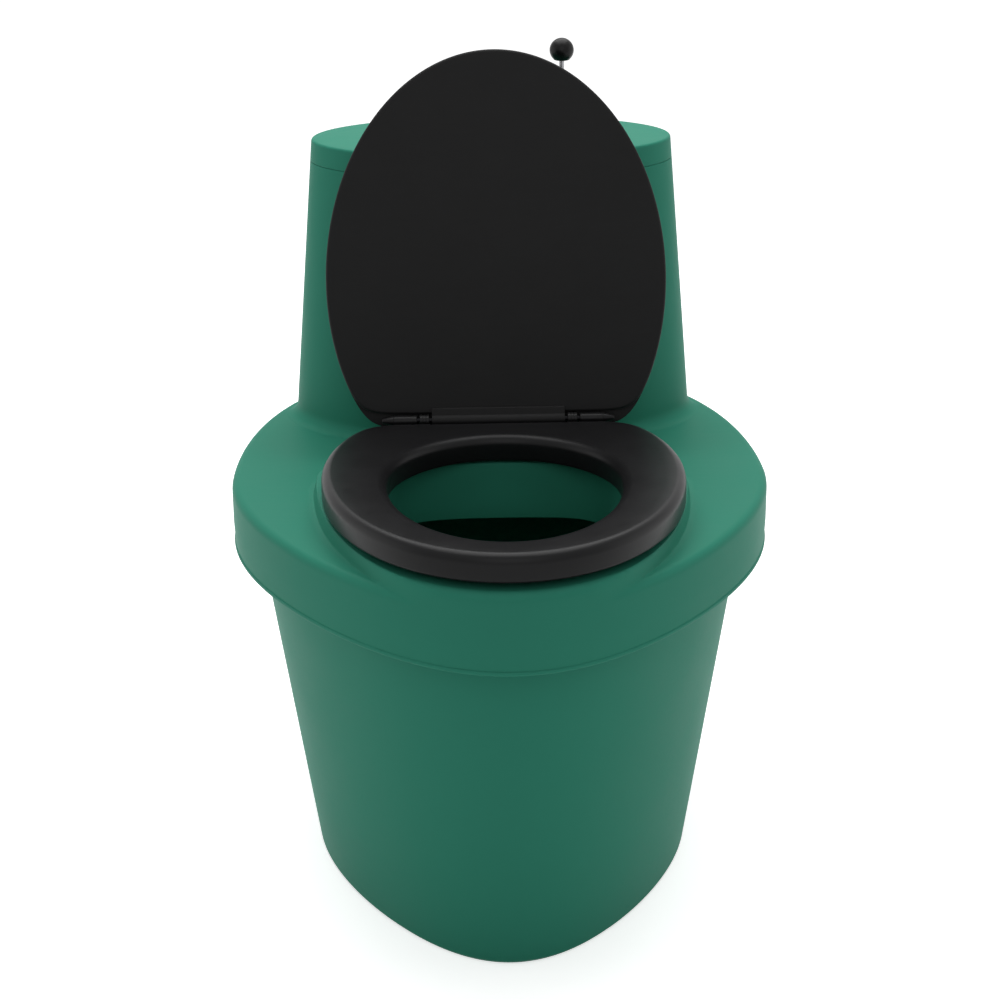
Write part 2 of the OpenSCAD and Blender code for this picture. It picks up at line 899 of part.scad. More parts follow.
module hinge_caps() {
    color(black)
        both_sides() {
            translate([barrel_out, hinge_y, hinge_z])
                rotate([0, 90, 0])
                    cylinder(h = cap_len, r1 = barrel_r, r2 = 2.5);
            rod_x(barrel_out - plug_len, barrel_out + sink, pin_r, hinge_y, hinge_z);
        }
}

module seat_lid() {
    low = lid_lift;
    edge = 3;
    color(black)
        translate([0, hinge_y, hinge_z])
            rotate([-90 - lid_lean, 0, 0])
                difference() {
                    union() {
                        translate([0, -hinge_y, 0])
                            loft([
                                lift(oval(lid_oval, -edge), low),
                                lift(oval(lid_oval, -edge / 4), low + edge / 3),
                                lift(oval(lid_oval), low + edge),
                                lift(oval(lid_oval), low + lid_t - edge - 1),
                                lift(oval(lid_oval, -edge / 3), low + lid_t - 2),
                                lift(oval(lid_oval, -edge * 2), low + lid_t - 0.5),
                                lift(oval(lid_oval, -40), low + lid_t)
                            ]);
                        rod_x(-block_x, block_x, ring_r);
                        translate([-block_x, -block_reach, -ring_r + 0.5])
                            cube([2 * block_x, block_reach, low + ring_r + 2]);
                    }
                    both_sides()
                        rod_x(block_x - 19, block_x + 1, pin_r + run_fit);
                }
}

container();
strainer();
filter_mat();
rim_seal();
drain_spigot();
drain_gasket();
drain_nut();
vent_collar();
vent_gasket();
vent_screws();
cover();
chute();
chute_screws();
litter_bin();
deflector();
deflector_screws();
bush_left();
bush_right();
dosing_shaft();
dosing_gate();
gate_pins();
shaft_clips();
lever_hub();
hub_screw();
lever_rod();
ball_knob();
hopper_lid();
hinge_post_left();
hinge_post_right();
post_washers();
post_nuts();
hinge_pins();
seat_ring();
seat_bumpers();
hinge_caps();
seat_lid();
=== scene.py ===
import itertools
import json
import math

import bmesh
import bpy
import numpy as np
from mathutils import Matrix, Vector


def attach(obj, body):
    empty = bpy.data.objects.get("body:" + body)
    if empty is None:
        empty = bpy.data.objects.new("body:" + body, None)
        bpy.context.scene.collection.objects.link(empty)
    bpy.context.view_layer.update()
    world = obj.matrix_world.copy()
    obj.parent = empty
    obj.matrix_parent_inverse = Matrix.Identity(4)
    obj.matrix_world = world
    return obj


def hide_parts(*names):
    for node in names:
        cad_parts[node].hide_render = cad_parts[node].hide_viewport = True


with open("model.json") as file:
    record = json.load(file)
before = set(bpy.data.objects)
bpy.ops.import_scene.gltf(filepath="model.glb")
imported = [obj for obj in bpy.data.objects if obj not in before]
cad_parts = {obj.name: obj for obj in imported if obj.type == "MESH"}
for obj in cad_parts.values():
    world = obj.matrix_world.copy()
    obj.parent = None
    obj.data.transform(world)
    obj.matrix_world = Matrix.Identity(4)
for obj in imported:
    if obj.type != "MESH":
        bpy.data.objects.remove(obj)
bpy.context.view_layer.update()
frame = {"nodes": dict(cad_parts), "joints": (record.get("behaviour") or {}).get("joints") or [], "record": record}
print("frame loaded:", len(frame["nodes"]), "nodes")

# Shapes are worked out in millimetres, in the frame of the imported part, and scaled once
# when a mesh is made.
millimetre = 0.001
aroundOval = 256  # points round each oval outline
aroundLathe = 64  # points round each turned piece
pole = 0.05  # radius where a turned piece closes on its axis
snug = 0.05  # gap of a hole round what runs in it


def jointNamed(name):
    return [joint for joint in frame["joints"] if joint["name"] == name][0]


def hingeLine(name):
    place = jointNamed(name)["pos_m"]
    return place[1] / millimetre, place[2] / millimetre


shaftY, shaftZ = hingeLine("dosing_lever")
hingeY, hingeZ = hingeLine("seat_hinge")


# outlines seen from above

def oval(middle, half, front, rear, frontTaper=0.0, rearTaper=0.0, backLimit=1000.0):
    return {"middle": middle, "half": half, "front": front, "rear": rear,
            "frontTaper": frontTaper, "rearTaper": rearTaper, "backLimit": backLimit}


def easeTowards(value, limit, corner=14.0):
    return -corner * np.log(np.exp(-value / corner) + np.exp(-limit / corner))


# one loop of points round an oval, drawn out sideways by grow
def ovalLoop(shape, grow=0.0, height=0.0, count=aroundOval):
    turn = np.arange(count) * 2 * math.pi / count
    ahead = turn > math.pi
    taper = np.where(ahead, shape["frontTaper"], shape["rearTaper"])
    reach = np.where(ahead, shape["front"], shape["rear"]) + grow
    across = (1 - taper) * np.cos(turn) + taper * np.cos(3 * turn)
    along = (1 - taper) * np.sin(turn) - taper * np.sin(3 * turn)
    x = (shape["half"] + grow) * across
    y = shape["middle"] + easeTowards(reach * along, shape["backLimit"] + grow)
    return np.column_stack([x, y, np.broadcast_to(height, count)])


def between(low, high, share):
    return low + (high - low) * share


# a cross-section with each corner (u, v, radius) turned into an arc, and (u, v) left sharp
def rounded(corners, closed=True, steps=6):
    points = []
    total = len(corners)
    for index, corner in enumerate(corners):
        here = np.array(corner[:2], float)
        radius = corner[2] if len(corner) > 2 else 0
        if radius <= 0 or (not closed and index in (0, total - 1)):
            points.append(here)
            continue
        toBefore = np.array(corners[index - 1][:2], float) - here
        toAfter = np.array(corners[(index + 1) % total][:2], float) - here
        lengthBefore, lengthAfter = np.linalg.norm(toBefore), np.linalg.norm(toAfter)
        toBefore /= lengthBefore
        toAfter /= lengthAfter
        half = math.acos(float(np.clip(toBefore @ toAfter, -1, 1))) / 2
        reach = min(radius / math.tan(half), 0.49 * lengthBefore, 0.49 * lengthAfter)
        size = reach * math.tan(half)
        middle = toBefore + toAfter
        centre = here + middle / np.linalg.norm(middle) * size / math.sin(half)
        start = here + toBefore * reach - centre
        end = here + toAfter * reach - centre
        first = math.atan2(start[1], start[0])
        sweep = (math.atan2(end[1], end[0]) - first + math.pi) % (2 * math.pi) - math.pi
        for step in range(steps + 1):
            angle = first + sweep * step / steps
            points.append(centre + size * np.array([math.cos(angle), math.sin(angle)]))
    return points


# meshes

def placed(name, data):
    thing = bpy.data.objects.new(name, data)
    bpy.context.scene.collection.objects.link(thing)
    return thing


def moved(place):
    return Matrix.Translation(Vector(place) * millimetre)


def newPiece(name, points, faces, crease=32.0):
    mesh = bpy.data.meshes.new(name)
    mesh.from_pydata((np.asarray(points, float) * millimetre).tolist(), [], faces)
    work = bmesh.new()
    work.from_mesh(mesh)
    bmesh.ops.recalc_face_normals(work, faces=work.faces)
    work.to_mesh(mesh)
    work.free()
    return smoothed(placed(name, mesh), crease)


def smoothed(piece, crease=32.0):
    piece.data.shade_smooth()
    piece.data.set_sharp_from_angle(angle=math.radians(crease))
    return piece


# a solid through a stack of loops: a closed hoop, or one with a flat face at each end
def lofted(name, loops, hoop=False, crease=32.0):
    count, rows = len(loops[0]), len(loops)
    faces = []
    for row in range(rows if hoop else rows - 1):
        a, b = row * count, (row + 1) % rows * count
        faces += [(a + i, a + (i + 1) % count, b + (i + 1) % count, b + i) for i in range(count)]
    if not hoop:
        faces.append(tuple(reversed(range(count))))
        faces.append(tuple(range((rows - 1) * count, rows * count)))
    return newPiece(name, np.concatenate(loops), faces, crease)


# a hoop whose section, with corners at (grow, height), follows one oval
def ringed(name, shape, corners, steps=4):
    section = rounded(corners, True, steps)
    return lofted(name, [ovalLoop(shape, g, z) for g, z in section], hoop=True, crease=40.0)


# a solid of revolution: its section has corners at (radius, distance along the axis)
def turned(name, corners, axis="z", at=(0, 0, 0), hollow=False, count=aroundLathe,
           crease=32.0, steps=4):
    turn = np.arange(count) * 2 * math.pi / count
    loops = []
    for radius, along in rounded(corners, hollow, steps):
        u, v = radius * np.cos(turn), radius * np.sin(turn)
        w = np.full(count, along, float)
        columns = {"x": (w, u, v), "y": (v, w, u), "z": (u, v, w)}[axis]
        loops.append(np.column_stack(columns) + np.array(at, float))
    return lofted(name, loops, hollow, crease)


# a solid along X whose side view is an outline of (y, z), with its ends rounded over
def barAlong(name, outline, low, high, edge=1.0, crease=32.0):
    outline = np.asarray(outline, float)
    ahead, behind = np.roll(outline, -1, 0), np.roll(outline, 1, 0)
    run = ahead - behind
    inward = np.column_stack([-run[:, 1], run[:, 0]])
    inward /= np.linalg.norm(inward, axis=1)[:, None]
    area = np.sum(outline[:, 0] * ahead[:, 1] - ahead[:, 0] * outline[:, 1])
    inward *= math.copysign(1.0, area)
    loops = []
    angles = [math.radians(22.5 * step) for step in range(5)]
    for end, way in ((low, 1), (high, -1)):
        for angle in angles[::way]:
            x = end + way * edge * (1 - math.cos(angle))
            face = outline + inward * edge * (1 - math.sin(angle))
            loops.append(np.column_stack([np.full(len(face), x), face]))
    return lofted(name, loops, False, crease)


def box(name, low, high):
    corners = list(itertools.product(*zip(low, high)))
    faces = [(0, 1, 3, 2), (4, 6, 7, 5), (0, 4, 5, 1), (2, 3, 7, 6), (0, 2, 6, 4), (1, 5, 7, 3)]
    return newPiece(name, corners, faces)


# cuts the others out of a piece, or welds them to it, and leaves the one piece
def combine(piece, others, operation="DIFFERENCE", crease=32.0):
    for other in others:
        step = piece.modifiers.new(operation, "BOOLEAN")
        step.operation = operation
        step.solver = "EXACT"
        step.object = other
    evaluated = piece.evaluated_get(bpy.context.evaluated_depsgraph_get())
    mesh = bpy.data.meshes.new_from_object(evaluated)
    piece.modifiers.clear()
    piece.data = mesh
    for other in others:
        bpy.data.objects.remove(other)
    return smoothed(piece, crease)


# one object that holds several pieces' meshes
def together(name, pieces):
    work = bmesh.new()
    for piece in pieces:
        work.from_mesh(piece.data)
    mesh = bpy.data.meshes.new(name)
    work.to_mesh(mesh)
    work.free()
    for piece in pieces:
        bpy.data.objects.remove(piece)
    return placed(name, mesh)


def mirroredCopy(name, piece):
    mesh = piece.data.copy()
    mesh.transform(Matrix.Scale(-1, 4, (1, 0, 0)))
    mesh.flip_normals()
    return placed(name, mesh)


# camera, fitted to the photograph

cameraView = {
    "place": (-80.01, -2466.16, 1342.85),
    "down": 20.83,
    "left": -1.87,
    "tilt": -0.38,
    "lens": 83.8,
    "sensor": 36.0,
    "reach": 100,
}


def makeCamera():
    pitch, yaw, roll = (math.radians(cameraView[k]) for k in ("down", "left", "tilt"))
    forward = Vector((-math.sin(yaw) * math.cos(pitch), math.cos(yaw) * math.cos(pitch),
                      -math.sin(pitch)))
    level = Vector((math.cos(yaw), math.sin(yaw), 0))
    upright = level.cross(forward)
    right = math.cos(roll) * level + math.sin(roll) * upright
    up = -math.sin(roll) * level + math.cos(roll) * upright
    lens = bpy.data.cameras.new("camera")
    lens.lens = cameraView["lens"]
    lens.sensor_width = cameraView["sensor"]
    lens.clip_end = cameraView["reach"]
    camera = placed("camera", lens)
    turn = Matrix((right, up, -forward)).transposed().to_4x4()
    camera.matrix_world = moved(cameraView["place"]) @ turn
    bpy.context.scene.camera = camera


makeCamera()
print("camera placed")


# shader nodes

# gives a node's sockets their values, or links them where the value is another node's output
def feed(tree, node, values):
    for socket, value in values.items():
        if isinstance(value, bpy.types.NodeSocket):
            tree.links.new(value, node.inputs[socket])
        else:
            node.inputs[socket].default_value = value
    return node


def addNode(tree, kind, values=None, **settings):
    node = tree.nodes.new(kind)
    for key, value in settings.items():
        setattr(node, key, value)
    return feed(tree, node, values or {})


def maths(tree, operation, *values):
    return addNode(tree, "ShaderNodeMath", dict(enumerate(values)), operation=operation).outputs[0]


def scaled(tree, colour, factor):
    values = {0: colour, "Scale": factor}
    return addNode(tree, "ShaderNodeVectorMath", values, operation="SCALE").outputs[0]


# noise whose largest grains are about size millimetres across
def noise(tree, size, detail=2.0, roughness=0.5, stretch=None):
    place = addNode(tree, "ShaderNodeTexCoord").outputs["Object"]
    if stretch:
        place = addNode(tree, "ShaderNodeMapping", {"Vector": place, "Scale": stretch}).outputs[0]
    return addNode(tree, "ShaderNodeTexNoise", {
        "Vector": place, "Scale": maths(tree, "DIVIDE", 1000.0, size), "Detail": detail,
        "Roughness": roughness}).outputs["Fac"]


def ramp(tree, value, low, high, fromLow=0.0, fromHigh=1.0):
    return addNode(tree, "ShaderNodeMapRange", {
        "Value": value, "From Min": fromLow, "From Max": fromHigh, "To Min": low,
        "To Max": high}).outputs[0]


def bumped(tree, height, strength, depth):
    return addNode(tree, "ShaderNodeBump", {
        "Height": height, "Strength": strength, "Distance": depth * millimetre}).outputs[0]


# node groups that the materials share: their inputs are named as the values of a look are

def makeGroup(name, inputs, outputs, build):
    tree = bpy.data.node_groups.new(name, "ShaderNodeTree")
    for way, labels in (("INPUT", inputs), ("OUTPUT", outputs)):
        for label in labels:
            kind = "NodeSocketColor" if label == "colour" else "NodeSocketFloat"
            tree.interface.new_socket(label, in_out=way, socket_type=kind)
    given = tree.nodes.new("NodeGroupInput")
    feed(tree, tree.nodes.new("NodeGroupOutput"), build(tree, given.outputs))
    return tree


# fine grain of a moulded skin, over slow waves left by the mould
def buildSkinGrain(tree, given):
    fine = noise(tree, given["grain"], 3.0, 0.6)
    slow = noise(tree, given["wave"], 1.0)
    waves = maths(tree, "MULTIPLY", slow, given["waveShare"])
    return {"height": maths(tree, "ADD", fine, waves)}


# colour that drifts a little lighter and darker over the piece, with fine pale specks
def buildColourDrift(tree, given):
    patches = noise(tree, given["patch"], 3.0, 0.55)
    drift = maths(tree, "MULTIPLY", maths(tree, "SUBTRACT", patches, 0.5), given["drift"])
    dots = ramp(tree, noise(tree, given["speck"], 1.0), 0.0, 1.0, 0.6, 0.8)
    specks = maths(tree, "MULTIPLY", dots, given["specks"])
    factor = maths(tree, "ADD", maths(tree, "MULTIPLY_ADD", drift, 2.0, 1.0), specks)
    return {"colour": scaled(tree, given["colour"], factor)}


# roughness that varies over patches half as wide, with faint smoother rubs along X
def buildHandledSheen(tree, given):
    patches = noise(tree, maths(tree, "DIVIDE", given["patch"], 2.0), 3.0)
    patches = maths(tree, "SUBTRACT", patches, 0.5)
    rubs = maths(tree, "SUBTRACT", noise(tree, given["rub"], 2.0, 0.6, (0.12, 1, 1)), 0.5)
    both = maths(tree, "MULTIPLY_ADD", rubs, 0.6, patches)
    return {"sheen": maths(tree, "MULTIPLY_ADD", both, given["spread"], given["roughness"])}


# parallel marks of a brush or a lathe tool, along Z
def buildToolLines(tree, given):
    lines = noise(tree, given["line"], 2.0, 0.7, (1, 1, 0.05))
    return {"height": lines, "tone": ramp(tree, lines, 0.8, 1.0)}


skinGrain = makeGroup("skinGrain", ("grain", "wave", "waveShare"), ("height",), buildSkinGrain)
colourDrift = makeGroup("colourDrift", ("colour", "drift", "patch", "speck", "specks"),
                        ("colour",), buildColourDrift)
handledSheen = makeGroup("handledSheen", ("roughness", "spread", "patch", "rub"), ("sheen",),
                         buildHandledSheen)
toolLines = makeGroup("toolLines", ("line",), ("height", "tone"), buildToolLines)
print("shader groups ready")


# materials

def placeGroup(tree, group, look):
    node = addNode(tree, "ShaderNodeGroup", node_tree=group)
    return feed(tree, node, {label: look[label] for label in node.inputs.keys()}).outputs


def startMaterial(name):
    material = bpy.data.materials.new(name)
    material.use_nodes = True
    return material, material.node_tree


def finishMaterial(material, values):
    tree = material.node_tree
    feed(tree, tree.nodes["Principled BSDF"], values)
    return material


# a moulded plastic or rubber
def mouldedMaterial(name, look):
    material, tree = startMaterial(name)
    grain = placeGroup(tree, skinGrain, look)["height"]
    return finishMaterial(material, {
        "IOR": 1.5, "Specular IOR Level": look["specular"],
        "Base Color": placeGroup(tree, colourDrift, look)["colour"],
        "Roughness": placeGroup(tree, handledSheen, look)["sheen"],
        "Normal": bumped(tree, grain, look["bump"], look["depth"])})


def metalMaterial(name, look):
    material, tree = startMaterial(name)
    lines = placeGroup(tree, toolLines, look)
    return finishMaterial(material, {
        "Metallic": 1.0, "Base Color": scaled(tree, look["colour"], lines["tone"]),
        "Roughness": placeGroup(tree, handledSheen, look)["sheen"],
        "Normal": bumped(tree, lines["height"], look["bump"], 0.02)})


# needled felt: crossing fibres over soft tufts
def feltMaterial(name, look):
    material, tree = startMaterial(name)
    across = noise(tree, look["fibre"], 3.0, 0.7, (0.15, 1, 1))
    along = noise(tree, look["fibre"], 3.0, 0.7, (1, 0.15, 1))
    fibres = maths(tree, "MAXIMUM", across, along)
    tufts = noise(tree, look["tuft"], 3.0, 0.6)
    share = ramp(tree, maths(tree, "MULTIPLY_ADD", tufts, 0.6, fibres), 0.0, 1.0, 0.5, 1.2)
    mix = addNode(tree, "ShaderNodeMix", {
        "A": (*look["dark"], 1), "B": (*look["light"], 1), "Factor": share}, data_type="RGBA")
    return finishMaterial(material, {
        "Base Color": mix.outputs["Result"], "Roughness": 0.95, "Sheen Weight": 0.35,
        "Sheen Roughness": 0.6, "Normal": bumped(tree, share, 0.8, 0.6)})


# sizes in millimetres; each look names what differs from a plain one
plainPlastic = {"drift": 0.07, "patch": 60.0, "speck": 0.6, "specks": 0.10, "roughness": 0.52,
                "spread": 0.10, "rub": 4.0, "grain": 1.0, "wave": 40.0, "waveShare": 1.5,
                "bump": 0.16, "depth": 0.08, "specular": 0.5}
plainMetal = {"patch": 24.0, "rub": 1.0, "line": 0.5}
plastics = {
    "green_shell": ("greenShell", dict(
        colour=(0.0300, 0.2190, 0.1480, 1), drift=0.035, patch=140.0, speck=0.8, specks=0.03,
        rub=6.0, grain=1.6, wave=70.0, waveShare=3.0, bump=0.10, depth=0.10, specular=0.06)),
    "seat_black": ("satinBlack", dict(
        colour=(0.0075, 0.0075, 0.0080, 1), drift=0.08, roughness=0.34, grain=0.9,
        waveShare=2.0, bump=0.08, depth=0.06, specular=0.13)),
    "lid_black": ("mattBlack", dict(
        colour=(0.0080, 0.0080, 0.0082, 1), drift=0.06, patch=80.0, speck=0.7, roughness=0.60,
        spread=0.08, rub=5.0, grain=0.8, wave=60.0, bump=0.18, specular=0.14)),
    "knob_black": ("glossBlack", dict(
        colour=(0.0060, 0.0060, 0.0062, 1), drift=0.05, patch=10.0, speck=0.3, specks=0.06,
        roughness=0.34, spread=0.06, rub=1.5, grain=0.6, wave=12.0, waveShare=2.0, bump=0.04,
        depth=0.04, specular=0.14)),
    "black_plastic": ("fittingBlack", dict(
        colour=(0.0160, 0.0160, 0.0165, 1), drift=0.08, patch=30.0, speck=0.5, roughness=0.48,
        rub=2.0, grain=0.7, wave=20.0)),
    "bin_plastic": ("binPlastic", dict(
        colour=(0.0250, 0.0270, 0.0290, 1), patch=70.0, wave=50.0, waveShare=2.0, depth=0.10)),
    "strainer_grey": ("strainerGrey", dict(
        colour=(0.0450, 0.0480, 0.0510, 1), specks=0.08, roughness=0.55, depth=0.10)),
    "rubber": ("sealRubber", dict(
        colour=(0.0180, 0.0180, 0.0180, 1), drift=0.10, patch=20.0, speck=0.5, specks=0.12,
        roughness=0.78, rub=1.5, grain=0.5, wave=15.0, waveShare=1.0, bump=0.25)),
    "gate_plastic": ("gatePlastic", dict(
        colour=(0.6200, 0.5900, 0.5000, 1), drift=0.04, patch=25.0, speck=0.5, specks=0.03,
        roughness=0.42, rub=2.0, grain=0.8, wave=20.0, bump=0.10, depth=0.06)),
    "bush_plastic": ("bushPlastic", dict(
        colour=(0.7600, 0.7500, 0.7000, 1), drift=0.03, patch=10.0, speck=0.4, specks=0.02,
        roughness=0.38, spread=0.08, rub=1.0, grain=0.5, wave=10.0, waveShare=1.0, bump=0.08,
        depth=0.04)),
}
plastics["hub_plastic"] = ("hubPlastic", plastics["strainer_grey"][1])
metals = {
    "rod_chrome": ("brightRod", dict(
        colour=(0.33, 0.33, 0.34), roughness=0.28, spread=0.06, line=0.4, bump=0.10)),
    "steel": ("plainSteel", dict(
        colour=(0.52, 0.53, 0.55), roughness=0.30, spread=0.12, bump=0.30)),
    "darkPin": ("darkPin", dict(
        colour=(0.010, 0.010, 0.011), roughness=0.45, spread=0.10, bump=0.20)),
}
matFelt = {"light": (0.36, 0.35, 0.31), "dark": (0.15, 0.14, 0.12), "fibre": 0.7, "tuft": 5.0}

finishes = {"mat_felt": feltMaterial("matFelt", matFelt)}
for slotName, (name, look) in plastics.items():
    finishes[slotName] = mouldedMaterial(name, {**plainPlastic, **look})
for slotName, (name, look) in metals.items():
    finishes[slotName] = metalMaterial(name, {**plainMetal, **look})

# every CAD node that stays gets its slot's finish
for entry in frame["record"]["subparts"]:
    for slot in frame["nodes"][entry["node"]].material_slots:
        slot.material = finishes[entry["material_slot"]]
for slot in frame["nodes"]["hinge_pins"].material_slots:
    slot.material = finishes["darkPin"]
print("materials ready:", len(finishes))


# a finished piece takes its slot's material, rides on its body and stands for its CAD nodes
def settle(piece, slotName, body, *nodes):
    piece.data.materials.clear()
    piece.data.materials.append(finishes[slotName])
    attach(piece, body)
    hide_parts(*nodes)
    return piece


# container: a tapered oval tub with a rim, and bosses for the vent and the drain at its back

tub = {
    "baseWidth": 430.0, "baseLength": 658.0, "rimWidth": 560.0, "rimLength": 744.0,
    "height": 430.0, "wall": 6.0, "frontTaper": 0.03, "foot": 5.0, "lip": 6.0,
    "ventHeight": 296.0, "ventRadius": 37.5, "ventBoss": 51.5,
    "drainHeight": 40.0, "drainRadius": 11.0, "drainBoss": 26.0, "loose": 0.5,
}


def tubOval(height):
    share = height / tub["height"]
    half = between(tub["baseWidth"], tub["rimWidth"], share) / 2
    reach = between(tub["baseLength"], tub["rimLength"], share) / 2
    return oval(0, half, reach, reach, tub["frontTaper"])


def tubLoop(height, grow):
    return ovalLoop(tubOval(height), grow, height)


def tubRear(height):
    return tubOval(height)["rear"]


ventFace = tubRear(tub["ventHeight"] + tub["ventBoss"]) + 2
drainFace = tubRear(tub["drainHeight"] + tub["drainBoss"]) + 2
drainInner = tubRear(tub["drainHeight"] - tub["drainBoss"]) - tub["wall"] - 2


# set a hair off the middle, so that no corner of a boss meets a corner of the tub's wall
def boss(name, low, high, radius, height, edge):
    aside = 0.15
    corners = [(radius, low, 0), (radius, high, edge), (radius - 4, high, 0)]
    return turned(name, corners, "y", (aside, 0, height), crease=25.0, steps=6)


def bore(name, radius, low, high, height):
    size = radius + tub["loose"]
    return turned(name, [(size, low), (size, high)], "y", (0, 0, height))


def makeContainer():
    foot, lip, top, wall = tub["foot"], tub["lip"], tub["height"], tub["wall"]
    ventZ, ventR, drainZ, drainR = (
        tub[k] for k in ("ventHeight", "ventBoss", "drainHeight", "drainBoss"))
    outside = [(-foot, 0, 0), (-foot + 0.4, 0, 0.4), (0, foot - 0.4, 1.5), (0, foot + 3, 0),
               (0, foot + 9, 0), (0, 120, 0), (0, 250, 0), (0, 380, 0), (0, top - lip - 9, 0),
               (0, top - lip - 3, 0), (0, top - lip, 1.5), (lip, top - lip, 1.5),
               (lip, top, 1.5), (-wall - 4, top, 0)]
    loops = [tubLoop(z, g) for g, z in rounded(outside, False, 5)]
    shell = lofted("container", loops, crease=40.0)
    combine(shell, [boss("ventBoss", tubRear(ventZ) - 30, ventFace, ventR, ventZ, 2.0),
                    boss("drainBoss", tubRear(drainZ) - 20, drainFace, drainR, drainZ, 1.5)],
            "UNION")
    inside = [(-wall - 8, wall, 0), (-wall, wall, 8), (-wall, 250, 0), (-wall, top + 1, 0)]
    combine(shell, [lofted("hollow", [tubLoop(z, g) for g, z in rounded(inside, False, 5)])])
    combine(shell, [boss("drainSeat", drainFace - 1, drainInner, drainR - 2, drainZ, 1.5)],
            "UNION")
    combine(shell, [bore("ventBore", tub["ventRadius"], 200, 500, ventZ),
                    bore("drainBore", tub["drainRadius"], 250, 400, drainZ)], crease=40.0)
    return settle(shell, "green_shell", "container", "container")


makeContainer()
print("container made")


# cover: a shallow dome with a skirt, a raised plinth for the seat and the hopper's column

deck = {
    "top": 443.0, "skirtLow": 370.0, "wall": 5.0, "edge": 10.0, "hem": 2.2, "bead": 1.1,
    "plinthRise": 15.0, "plinthFoot": 2.2, "plinthCrown": 2.6, "centre": (0.0, -150.0),
    "rays": 400, "dense": 1024, "floorHoleX": 122.0, "floorHoleY": 57.7,
}
coverOval = oval(0, 300, 399, 396, 0.03, -0.02)
plinthOval = oval(-60, 204.5, 345, 110)
openingOval = oval(-165, 124, 178, 127)
chuteOval = oval(-165, 124, 178, 127, 0, -0.1)
column = {
    "middle": 217.0, "footWidth": 474.0, "footDepth": 282.0, "topWidth": 418.0, "topDepth": 226.0,
    "height": 333.0, "rim": 750.7, "lidTop": 776.0, "fillet": 14.0, "wall": 5.0, "rebate": 2.0,
    "flange": 2.5,
}


# how far along each ray from the deck's centre a loop is met
def metBy(loop, rays):
    offset = loop[:, :2] - np.array(deck["centre"])
    angle = np.arctan2(offset[:, 1], offset[:, 0])
    order = np.argsort(angle)
    return np.interp(rays, angle[order], np.hypot(*offset.T)[order], period=2 * math.pi)


# height of the plinth's side at a distance outside its outline: one soft slope
def plinthSide(grow):
    share = np.clip((deck["plinthFoot"] - grow) / (deck["plinthFoot"] + deck["plinthCrown"]), 0, 1)
    return deck["plinthRise"] * share ** 2 * (3 - 2 * share)


def makeDeck():
    rays = np.arange(deck["rays"]) * 2 * math.pi / deck["rays"]
    top, wall, edge, hem, bead = (deck[k] for k in ("top", "wall", "edge", "hem", "bead"))

    def metOval(shape, grow):
        return metBy(ovalLoop(shape, grow, 0, deck["dense"]), rays)

    grows = np.concatenate([np.arange(-90, -12, 6.0), np.arange(-12, 14, 0.5),
                            np.arange(14, 80, 6.0)])
    plinthMet = np.array([metOval(plinthOval, g) for g in grows])

    def risen(radius):
        grow = np.array([np.interp(radius[i], plinthMet[:, i], grows) for i in range(len(rays))])
        return plinthSide(grow)

    hole = metOval(chuteOval, 7.5)
    edgeStart = metOval(coverOval, -edge)
    slope = np.linspace(-deck["plinthCrown"], deck["plinthFoot"], 17)
    grownRows = [-26, -14, *slope, 9, 12, 16]
    rows = [hole]
    for index, grow in enumerate(grownRows):
        limit = edgeStart - 0.5 * (len(grownRows) + 3 - index)
        rows.append(np.minimum(metOval(plinthOval, grow), limit))
    rows += [between(rows[-1], edgeStart, share) for share in (0.25, 0.6, 0.9)]
    upper = [(radius, top + risen(radius)) for radius in rows]
    rim = risen(metOval(coverOval, 0))
    for angle in np.radians(np.arange(0, 100, 10)):
        radius = metOval(coverOval, -edge * (1 - math.sin(angle)))
        upper.append((radius, top + risen(radius) - edge * (1 - math.cos(angle))))
    outer = metOval(coverOval, 0)
    level = np.ones(len(rays))
    under = [(outer, top + rim - edge - 2.0), (outer, level * 424.0), (outer, level * 400.0)]
    hemArc = rounded([(0, 28, 0), (-bead, hem * 2 + 1.0, 0.5), (0, hem * 2, hem * 0.8),
                      (0, 0, hem), (-wall, 0, hem), (-wall, hem + 1, 0)], False, 5)
    for grow, lift in hemArc:
        under.append((metOval(coverOval, grow), level * (deck["skirtLow"] + lift)))
    inner = metOval(coverOval, -wall)
    recess = np.minimum(metOval(plinthOval, -wall - 3), metOval(tubOval(tub["height"]), -14))
    recess = np.maximum(recess, hole + 1)
    flat = level * (top - wall)
    under += [(inner, flat - 40), (inner, flat - 5), (inner - 2, flat - 1), (inner - 5, flat),
              (between(inner, recess, 0.5), flat), (recess + 1, flat), (recess, flat + 1),
              (recess, flat + deck["plinthRise"]), (hole, flat + deck["plinthRise"])]
    loops = []
    for radius, height in upper + under:
        x = deck["centre"][0] + radius * np.cos(rays)
        y = deck["centre"][1] + radius * np.sin(rays)
        loops.append(np.column_stack([x, y, height]))
    return lofted("deck", loops, hoop=True, crease=50.0)


def columnOval(height):
    share = (height - deck["top"]) / column["height"]
    half = between(column["footWidth"], column["topWidth"], share) / 2
    reach = between(column["footDepth"], column["topDepth"], share) / 2
    return oval(column["middle"], half, reach, reach)


